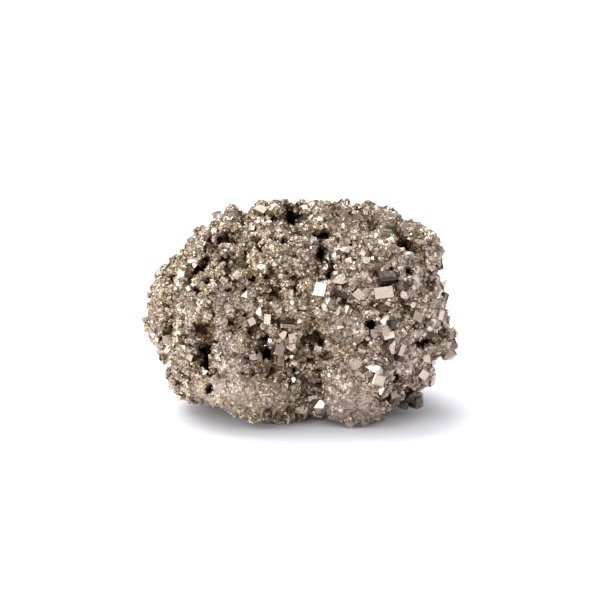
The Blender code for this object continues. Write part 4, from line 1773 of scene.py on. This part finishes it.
@dataclass(frozen=True)
class Tone:
    """How the metal's colour and roughness follow from a crystal's tint and from its place; hollows and
    faces set dark are painted darker, partly as patina and partly as shade.

    Args:
        colours: the colours that are blended.
        dim: the tints between which the colour goes from dark to usual.
        bright: the tints between which it goes from usual to pale.
        rosy: the clouds that are rosy.
        golden: the clouds that are golden.
        east: where the east side begins and where it is full, in metres.
        east_rose: how rosy the east side is at least.
        east_gold: the share of its gold that the east side keeps.
        patchy: the clouds that make the painted patina and shade thick and thin.
        tarnished_and_shaded: the depths at which the painted patina and shade begin and are thickest.
        thickest: the share of the colour that the thickest patina and painted shade take.
        blackened: the depths at which the painted shade begins to darken further and is darkest.
        roughness: that of the dimmest and of the brightest faces.
        scuffed: the clouds that are added to the roughness.
        dull: what the thickest patina and painted shade add to the roughness, warm and cold.
    """

    colours: Colours = Colours()
    dim: Pair = (0.15, 0.55)
    bright: Pair = (0.6, 1.0)
    rosy: Clouds = Clouds(90.0, (0.5, 0.62), (0.0, 0.7))
    golden: Clouds = Clouds(210.0, (0.5, 0.68))
    east: Pair = (-0.004, 0.012)
    east_rose: float = 0.4
    east_gold: float = 0.3
    patchy: Clouds = Clouds(650.0, (0.25, 0.6), (0.7, 1.2))
    tarnished_and_shaded: Pair = (0.3, 0.75)
    thickest: float = 0.9
    blackened: Pair = (0.68, 0.92)
    roughness: Pair = (0.34, 0.16)
    scuffed: Clouds = Clouds(1500.0, (0.3, 0.7), (-0.05, 0.1))
    dull: Pair = (0.2, -0.05)

    def group(self) -> bpy.types.NodeTree:
        """Makes the node group.

        Returns:
            The group, which gives colour, roughness, and the share of painted patina and shade.
        """
        nodes = new_group(
            "pyrite_tone",
            [
                ("Tint", "NodeSocketFloat", 0.5),
                ("Hollow", "NodeSocketFloat", 0.0),
                ("Spot", "NodeSocketVector", (0, 0, 0)),
                ("Gold", "NodeSocketFloat", 0.7),
                ("Rose", "NodeSocketFloat", 0.0),
                ("Cold", "NodeSocketFloat", 0.0),
            ],
            [
                ("Colour", "NodeSocketColor"),
                ("Roughness", "NodeSocketFloat"),
                ("Tarnish_and_shade", "NodeSocketFloat"),
            ],
        )
        given, out = nodes.tree.nodes["in"].outputs, nodes.tree.nodes["out"].inputs
        tint, spot, cold = given["Tint"], given["Spot"], given["Cold"]
        colours = {name: rgba(colour) for name, colour in vars(self.colours).items()}
        base = nodes.blend(nodes.ranged(tint, self.dim), colours["dark"], colours["usual"])
        base = nodes.blend(nodes.ranged(tint, self.bright), base, colours["pale"])
        sides = nodes.add("ShaderNodeSeparateXYZ")
        nodes.join(spot, sides.inputs[0])
        east = nodes.ranged(sides.outputs["X"], self.east)
        rose = nodes.maths("ADD", nodes.clouded(spot, self.rosy), given["Rose"])
        rose = nodes.maths("MAXIMUM", rose, nodes.maths("MULTIPLY", east, self.east_rose))
        base = nodes.blend(rose, base, colours["rosy"])
        gilt = nodes.maths("MULTIPLY", nodes.clouded(spot, self.golden), given["Gold"])
        gilt = nodes.maths("MULTIPLY", gilt, nodes.ranged(east, WHOLE, (1.0, self.east_gold)))
        base = nodes.blend(gilt, base, colours["golden"])
        # Deep hollows and faces set dark take the brown or grey colour and then the darkest one: partly
        # patina, partly painted shade.
        deep = nodes.maths("MULTIPLY", given["Hollow"], nodes.clouded(spot, self.patchy))
        tarnish_and_shade = nodes.ranged(deep, self.tarnished_and_shaded, (0.0, self.thickest))
        base = nodes.blend(tarnish_and_shade, base, nodes.blend(cold, colours["tarnish_and_shade"], colours["grey"]))
        darkest = nodes.blend(cold, colours["black"], colours["soot"])
        base = nodes.blend(nodes.ranged(deep, self.blackened), base, darkest)
        nodes.join(base, out["Colour"])
        rough = nodes.ranged(tint, WHOLE, self.roughness)
        rough = nodes.maths("ADD", rough, nodes.clouded(spot, self.scuffed))
        dull = nodes.maths("MULTIPLY", tarnish_and_shade, nodes.ranged(cold, WHOLE, self.dull))
        nodes.join(nodes.maths("ADD", rough, dull), out["Roughness"])
        nodes.join(tarnish_and_shade, out["Tarnish_and_shade"])
        return nodes.tree


def striation_group(lines: float = 5.5, pits: float = 2600.0, pitting: float = 0.25) -> bpy.types.NodeTree:
    """Makes the fine growth lines across a crystal face, as a height.

    Args:
        lines: how narrow they are.
        pits: how small the pits between them are.
        pitting: how deep the pits are beside the lines.

    Returns:
        The node group.
    """
    nodes = new_group(
        "growth_lines",
        [("Band", "NodeSocketFloat", 0.0), ("Spot", "NodeSocketVector", (0, 0, 0))],
        [("Height", "NodeSocketFloat")],
    )
    given, out = nodes.tree.nodes["in"].outputs, nodes.tree.nodes["out"].inputs
    where = nodes.add("ShaderNodeCombineXYZ")
    nodes.join(given["Band"], where.inputs["X"])
    lined = nodes.noise(where.outputs[0], lines, detail=2.0)
    pitted = nodes.maths("MULTIPLY", nodes.noise(given["Spot"], pits), pitting)
    nodes.join(nodes.maths("ADD", lined, pitted), out["Height"])
    return nodes.tree


def facet_group(scale: float = 3000.0) -> bpy.types.NodeTree:
    """Makes facets smaller than any grain, as a height: each cell of a mosaic leans its own way.

    Args:
        scale: how small they are.

    Returns:
        The node group.
    """
    nodes = new_group(
        "small_facets",
        [("Spot", "NodeSocketVector", (0, 0, 0)), ("Lean", "NodeSocketFloat", 1.0)],
        [("Height", "NodeSocketFloat")],
    )
    given, out = nodes.tree.nodes["in"].outputs, nodes.tree.nodes["out"].inputs
    cells = nodes.add("ShaderNodeTexVoronoi")
    nodes.join(given["Spot"], cells.inputs["Vector"])
    cells.inputs["Scale"].default_value = scale
    away = nodes.vectors("SUBTRACT", given["Spot"], cells.outputs["Position"])
    leaning = nodes.vectors("SUBTRACT", cells.outputs["Color"], (0.5, 0.5, 0.5))
    height = nodes.vectors("DOT_PRODUCT", away.outputs["Vector"], leaning.outputs["Vector"])
    nodes.join(nodes.maths("MULTIPLY", height.outputs["Value"], given["Lean"]), out["Height"])
    return nodes.tree


@dataclass(frozen=True)
class Finish:
    """A finish of the pyrite.

    Args:
        name: the material's name.
        darker: how much the colour is darkened, from 0 to 1.
        rougher: added to the roughness.
        lines: depth of the growth lines, in millimetres.
        gold: how golden its golden areas are, from 0 to 1.
        rose: how rosy it is everywhere, from 0 to 1.
        lean: how steeply its smallest facets lean.
        cold: how grey and glossy its painted patina and shade are, from 0 (brown and dull) to 1.
        calm_full: how calm an area is when its rose is full, from 0 to 1.
        calm_rose: how much rosier calm areas are.
        calm_lean: the share of their facets' lean that calm areas keep.
        metal: how metallic the warm painted patina and shade are, from 0 to 1.
    """

    name: str
    darker: float = 0.0
    rougher: float = 0.0
    lines: float = 0.02
    gold: float = 0.55
    rose: float = 0.0
    lean: float = 1.0
    cold: float = 0.0
    calm_full: float = 0.7
    calm_rose: float = 0.6
    calm_lean: float = 0.1
    metal: float = 0.8

    def material(
        self, tone: bpy.types.NodeTree, striation: bpy.types.NodeTree, facets: bpy.types.NodeTree
    ) -> bpy.types.Material:
        """Builds the material.

        Args:
            tone: the group that gives the metal's colour and roughness.
            striation: the group that gives the height of the growth lines.
            facets: the group that gives the height of the smallest facets.

        Returns:
            The material.
        """
        material = bpy.data.materials.new(self.name)
        material.use_nodes = True
        nodes = Nodes(material.node_tree)
        shader = nodes.tree.nodes["Principled BSDF"]
        spot = nodes.add("ShaderNodeTexCoord").outputs["Object"]
        calm = nodes.value("calm")
        toned = nodes.add("ShaderNodeGroup", node_tree=tone)
        nodes.join(nodes.value("tint"), toned.inputs["Tint"])
        nodes.join(nodes.value("hollow"), toned.inputs["Hollow"])
        nodes.join(spot, toned.inputs["Spot"])
        toned.inputs["Gold"].default_value = self.gold
        rose = nodes.ranged(calm, (0.0, self.calm_full), (self.rose, self.rose + self.calm_rose))
        nodes.join(rose, toned.inputs["Rose"])
        toned.inputs["Cold"].default_value = self.cold
        dimmed = nodes.blend(self.darker, toned.outputs["Colour"], rgba((0.0, 0.0, 0.0)))
        nodes.join(dimmed, shader.inputs["Base Color"])
        nodes.join(nodes.maths("ADD", toned.outputs["Roughness"], self.rougher), shader.inputs["Roughness"])
        tarnished_and_shaded = self.metal + (1.0 - self.metal) * self.cold
        metal = nodes.ranged(toned.outputs["Tarnish_and_shade"], WHOLE, (1.0, tarnished_and_shaded))
        nodes.join(metal, shader.inputs["Metallic"])
        lined = nodes.add("ShaderNodeGroup", node_tree=striation)
        nodes.join(nodes.value("band"), lined.inputs["Band"])
        nodes.join(spot, lined.inputs["Spot"])
        leant = nodes.add("ShaderNodeGroup", node_tree=facets)
        nodes.join(spot, leant.inputs["Spot"])
        lean = nodes.ranged(calm, WHOLE, (self.lean, self.calm_lean * self.lean))
        nodes.join(lean, leant.inputs["Lean"])
        bump = nodes.add("ShaderNodeBump")
        bump.inputs["Distance"].default_value = 1.0
        ridged = nodes.maths("MULTIPLY", lined.outputs["Height"], self.lines * MM)
        nodes.join(nodes.maths("ADD", ridged, leant.outputs["Height"]), bump.inputs["Height"])
        nodes.join(bump.outputs["Normal"], shader.inputs["Normal"])
        return material


# ---------------------------------------------------------------------------------------------------
# The studio


@dataclass(frozen=True)
class Softbox:
    """A square area light that points at the lump.

    Args:
        place: where it hangs, in metres.
        size: its side, in metres.
        power: in watts.
    """

    place: Triple
    size: float
    power: float


@dataclass(frozen=True)
class Sky:
    """A broad overhead light that throws the lump's shadow.

    Args:
        direction: from the lump towards it.
        strength: light on a face that looks at it, in watts to the square metre.
        breadth: its angular width, in radians.
    """

    direction: Triple = (-0.36, 0.5, 0.9)
    strength: float = 2.9
    breadth: float = math.radians(56.0)


BOXES: dict[str, Softbox] = {
    "key": Softbox((-0.45, -0.55, 0.75), 0.54, 2.7),
    "top": Softbox((0.1, 0.25, 0.85), 0.5, 1.1),
    "right": Softbox((0.85, -0.25, 0.4), 0.34, 0.32),
    "left": Softbox((-0.8, -0.35, 0.25), 0.6, 3.9),
    "front": Softbox((-0.15, -0.95, 0.12), 0.4, 1.2),
    "back": Softbox((-0.2, 0.95, 0.5), 0.4, 0.9),
}


@dataclass
class Studio:
    """A white floor, soft light and the camera.

    Args:
        chart: the chart of the front, which the camera looks at.
        sky: the overhead light.
        lens: the camera's focal length, in millimetres.
        clip: the nearest and the furthest that it sees, in metres.
        floor_radius: the floor's size, in metres.
        floor_sides: how many sides its disc has.
        floor_colour: its colour.
        floor_roughness: its roughness.
        ambient: strength of the world's light on the floor.
        room: the bright and dark areas of the room that the metal mirrors.
        backdrop: how bright the world is to the camera.
        diffuse_share: the share of the softboxes' light that isn't mirrored.
    """

    chart: FrontChart
    sky: Sky = Sky()
    lens: float = 100.0
    clip: Pair = (0.01, 30.0)
    floor_radius: float = 9.0
    floor_sides: int = 64
    floor_colour: Triple = (0.85, 0.855, 0.91)
    floor_roughness: float = 0.9
    ambient: float = 0.7
    room: Clouds = Clouds(2.6, (0.4, 0.58), (0.05, 0.93), detail=2.0)
    backdrop: float = 1.0
    diffuse_share: float = 0.05

    def build(self) -> None:
        """Sets the floor, the lights, the world and the camera."""
        self.floor()
        for name, box in BOXES.items():
            self.light(name, box)
        self.overhead()
        self.world()
        self.camera()
        bpy.context.scene.view_settings.view_transform = "Standard"

    def floor(self) -> None:
        """Lays a wide pale disc, which isn't part of the object."""
        bm = bmesh.new()
        bmesh.ops.create_circle(bm, cap_ends=True, radius=self.floor_radius, segments=self.floor_sides)
        mesh = bpy.data.meshes.new("floor")
        bm.to_mesh(mesh)
        bm.free()
        floor = shown("floor", mesh)
        material = bpy.data.materials.new("floor")
        material.use_nodes = True
        shader = material.node_tree.nodes["Principled BSDF"]
        shader.inputs["Base Color"].default_value = rgba(self.floor_colour)
        shader.inputs["Roughness"].default_value = self.floor_roughness
        shader.inputs["Specular IOR Level"].default_value = 0.0
        mesh.materials.append(material)

    def light(self, name: str, box: Softbox) -> None:
        """Hangs one softbox.

        Args:
            name: its name.
            box: its place, size and power.
        """
        data = bpy.data.lights.new(name, "AREA")
        data.energy = box.power
        data.size = box.size
        data.diffuse_factor = self.diffuse_share
        lamp = shown(name, data)
        lamp.location = box.place
        towards = Vector(self.chart.middle) * MM - Vector(box.place)
        lamp.rotation_euler = towards.to_track_quat("-Z", "Y").to_euler()

    def overhead(self) -> None:
        """Hangs the overhead light."""
        data = bpy.data.lights.new("overhead", "SUN")
        data.energy = self.sky.strength
        data.angle = self.sky.breadth
        lamp = shown("overhead", data)
        lamp.rotation_euler = Vector(self.sky.direction).to_track_quat("Z", "Y").to_euler()

    def world(self) -> None:
        """Makes it white to the camera, with even light for the floor and a dimmer room in the metal."""
        world = bpy.data.worlds.new("studio")
        world.use_nodes = True
        nodes = Nodes(world.node_tree)
        shader = nodes.tree.nodes["Background"]
        path = nodes.add("ShaderNodeLightPath")
        mirrored = nodes.clouded(nodes.add("ShaderNodeTexCoord").outputs["Generated"], self.room)
        unseen = nodes.either(path.outputs["Is Glossy Ray"], self.ambient, mirrored)
        strength = nodes.either(path.outputs["Is Camera Ray"], unseen, self.backdrop)
        shader.inputs["Color"].default_value = (1.0, 1.0, 1.0, 1.0)
        nodes.join(strength, shader.inputs["Strength"])
        bpy.context.scene.world = world

    def camera(self) -> None:
        """Sets a long lens where the chart is drawn from."""
        data = bpy.data.cameras.new("camera")
        data.lens = self.lens
        data.clip_start, data.clip_end = self.clip
        camera = shown("camera", data)
        camera.location = self.chart.eye()
        _, _, inwards = self.chart.axes()
        camera.rotation_euler = inwards.to_track_quat("-Z", "Y").to_euler()
        bpy.context.scene.camera = camera


# ---------------------------------------------------------------------------------------------------


def tree_of(piece: bpy.types.Object) -> BVHTree:
    """Makes a tree for casting rays at a piece.

    Args:
        piece: the piece.

    Returns:
        The tree of its mesh.
    """
    bm = bmesh.new()
    bm.from_mesh(piece.data)
    tree = BVHTree.FromBMesh(bm)
    bm.free()
    return tree


def settle(piece: bpy.types.Object, material: bpy.types.Material) -> None:
    """Gives a piece its material and its body, and logs it.

    Args:
        piece: the piece.
        material: its only material.
    """
    piece.data.materials.clear()
    piece.data.materials.append(material)
    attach(piece, BODY)
    triangles = sum(len(face.vertices) - 2 for face in piece.data.polygons)
    LOG.info("%s: %d triangles", piece.name, triangles)


def main() -> None:
    """Builds the studio and every piece of the specimen."""
    logging.basicConfig(level=logging.INFO, format="%(message)s")
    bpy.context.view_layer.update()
    noise.seed_set(NOISE_SEED)
    chart = FrontChart()
    Studio(chart).build()
    zones = Zones(chart)
    groups = (Tone().group(), striation_group(), facet_group())
    mass_finish = Finish("pyrite_mass", darker=0.08, rougher=0.02).material(*groups)
    druse_finish = Finish("pyrite_druse", lean=0.5).material(*groups)
    coarse_look = Finish(
        "pyrite_crystal", rougher=-0.04, lines=0.012, gold=0.2, rose=0.5, lean=0.08, cold=0.8
    )
    coarse_finish = coarse_look.material(*groups)
    leading_finish = replace(coarse_look, name="pyrite_leading", lines=0.016, cold=1.0).material(*groups)
    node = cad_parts[NODE]
    lights = {name: Vector(box.place) for name, box in BOXES.items()}
    leading = LeadingCrystals(chart, lights, tree_of(node))
    mass = Mass(zones).build(node, leading.batches)
    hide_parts(NODE)
    settle(mass, mass_finish)
    skin = Skin(mass)
    coarse = CoarseCrystals(zones).grown(skin, leading)
    settle(joined(CoarseCrystals.name, coarse), coarse_finish)
    for piece in Druse(zones).build(skin, leading, [*leading.batches, *coarse]):
        settle(piece, druse_finish)
    settle(joined(leading.name, leading.batches), leading_finish)


if __name__ == "__main__":
    main()
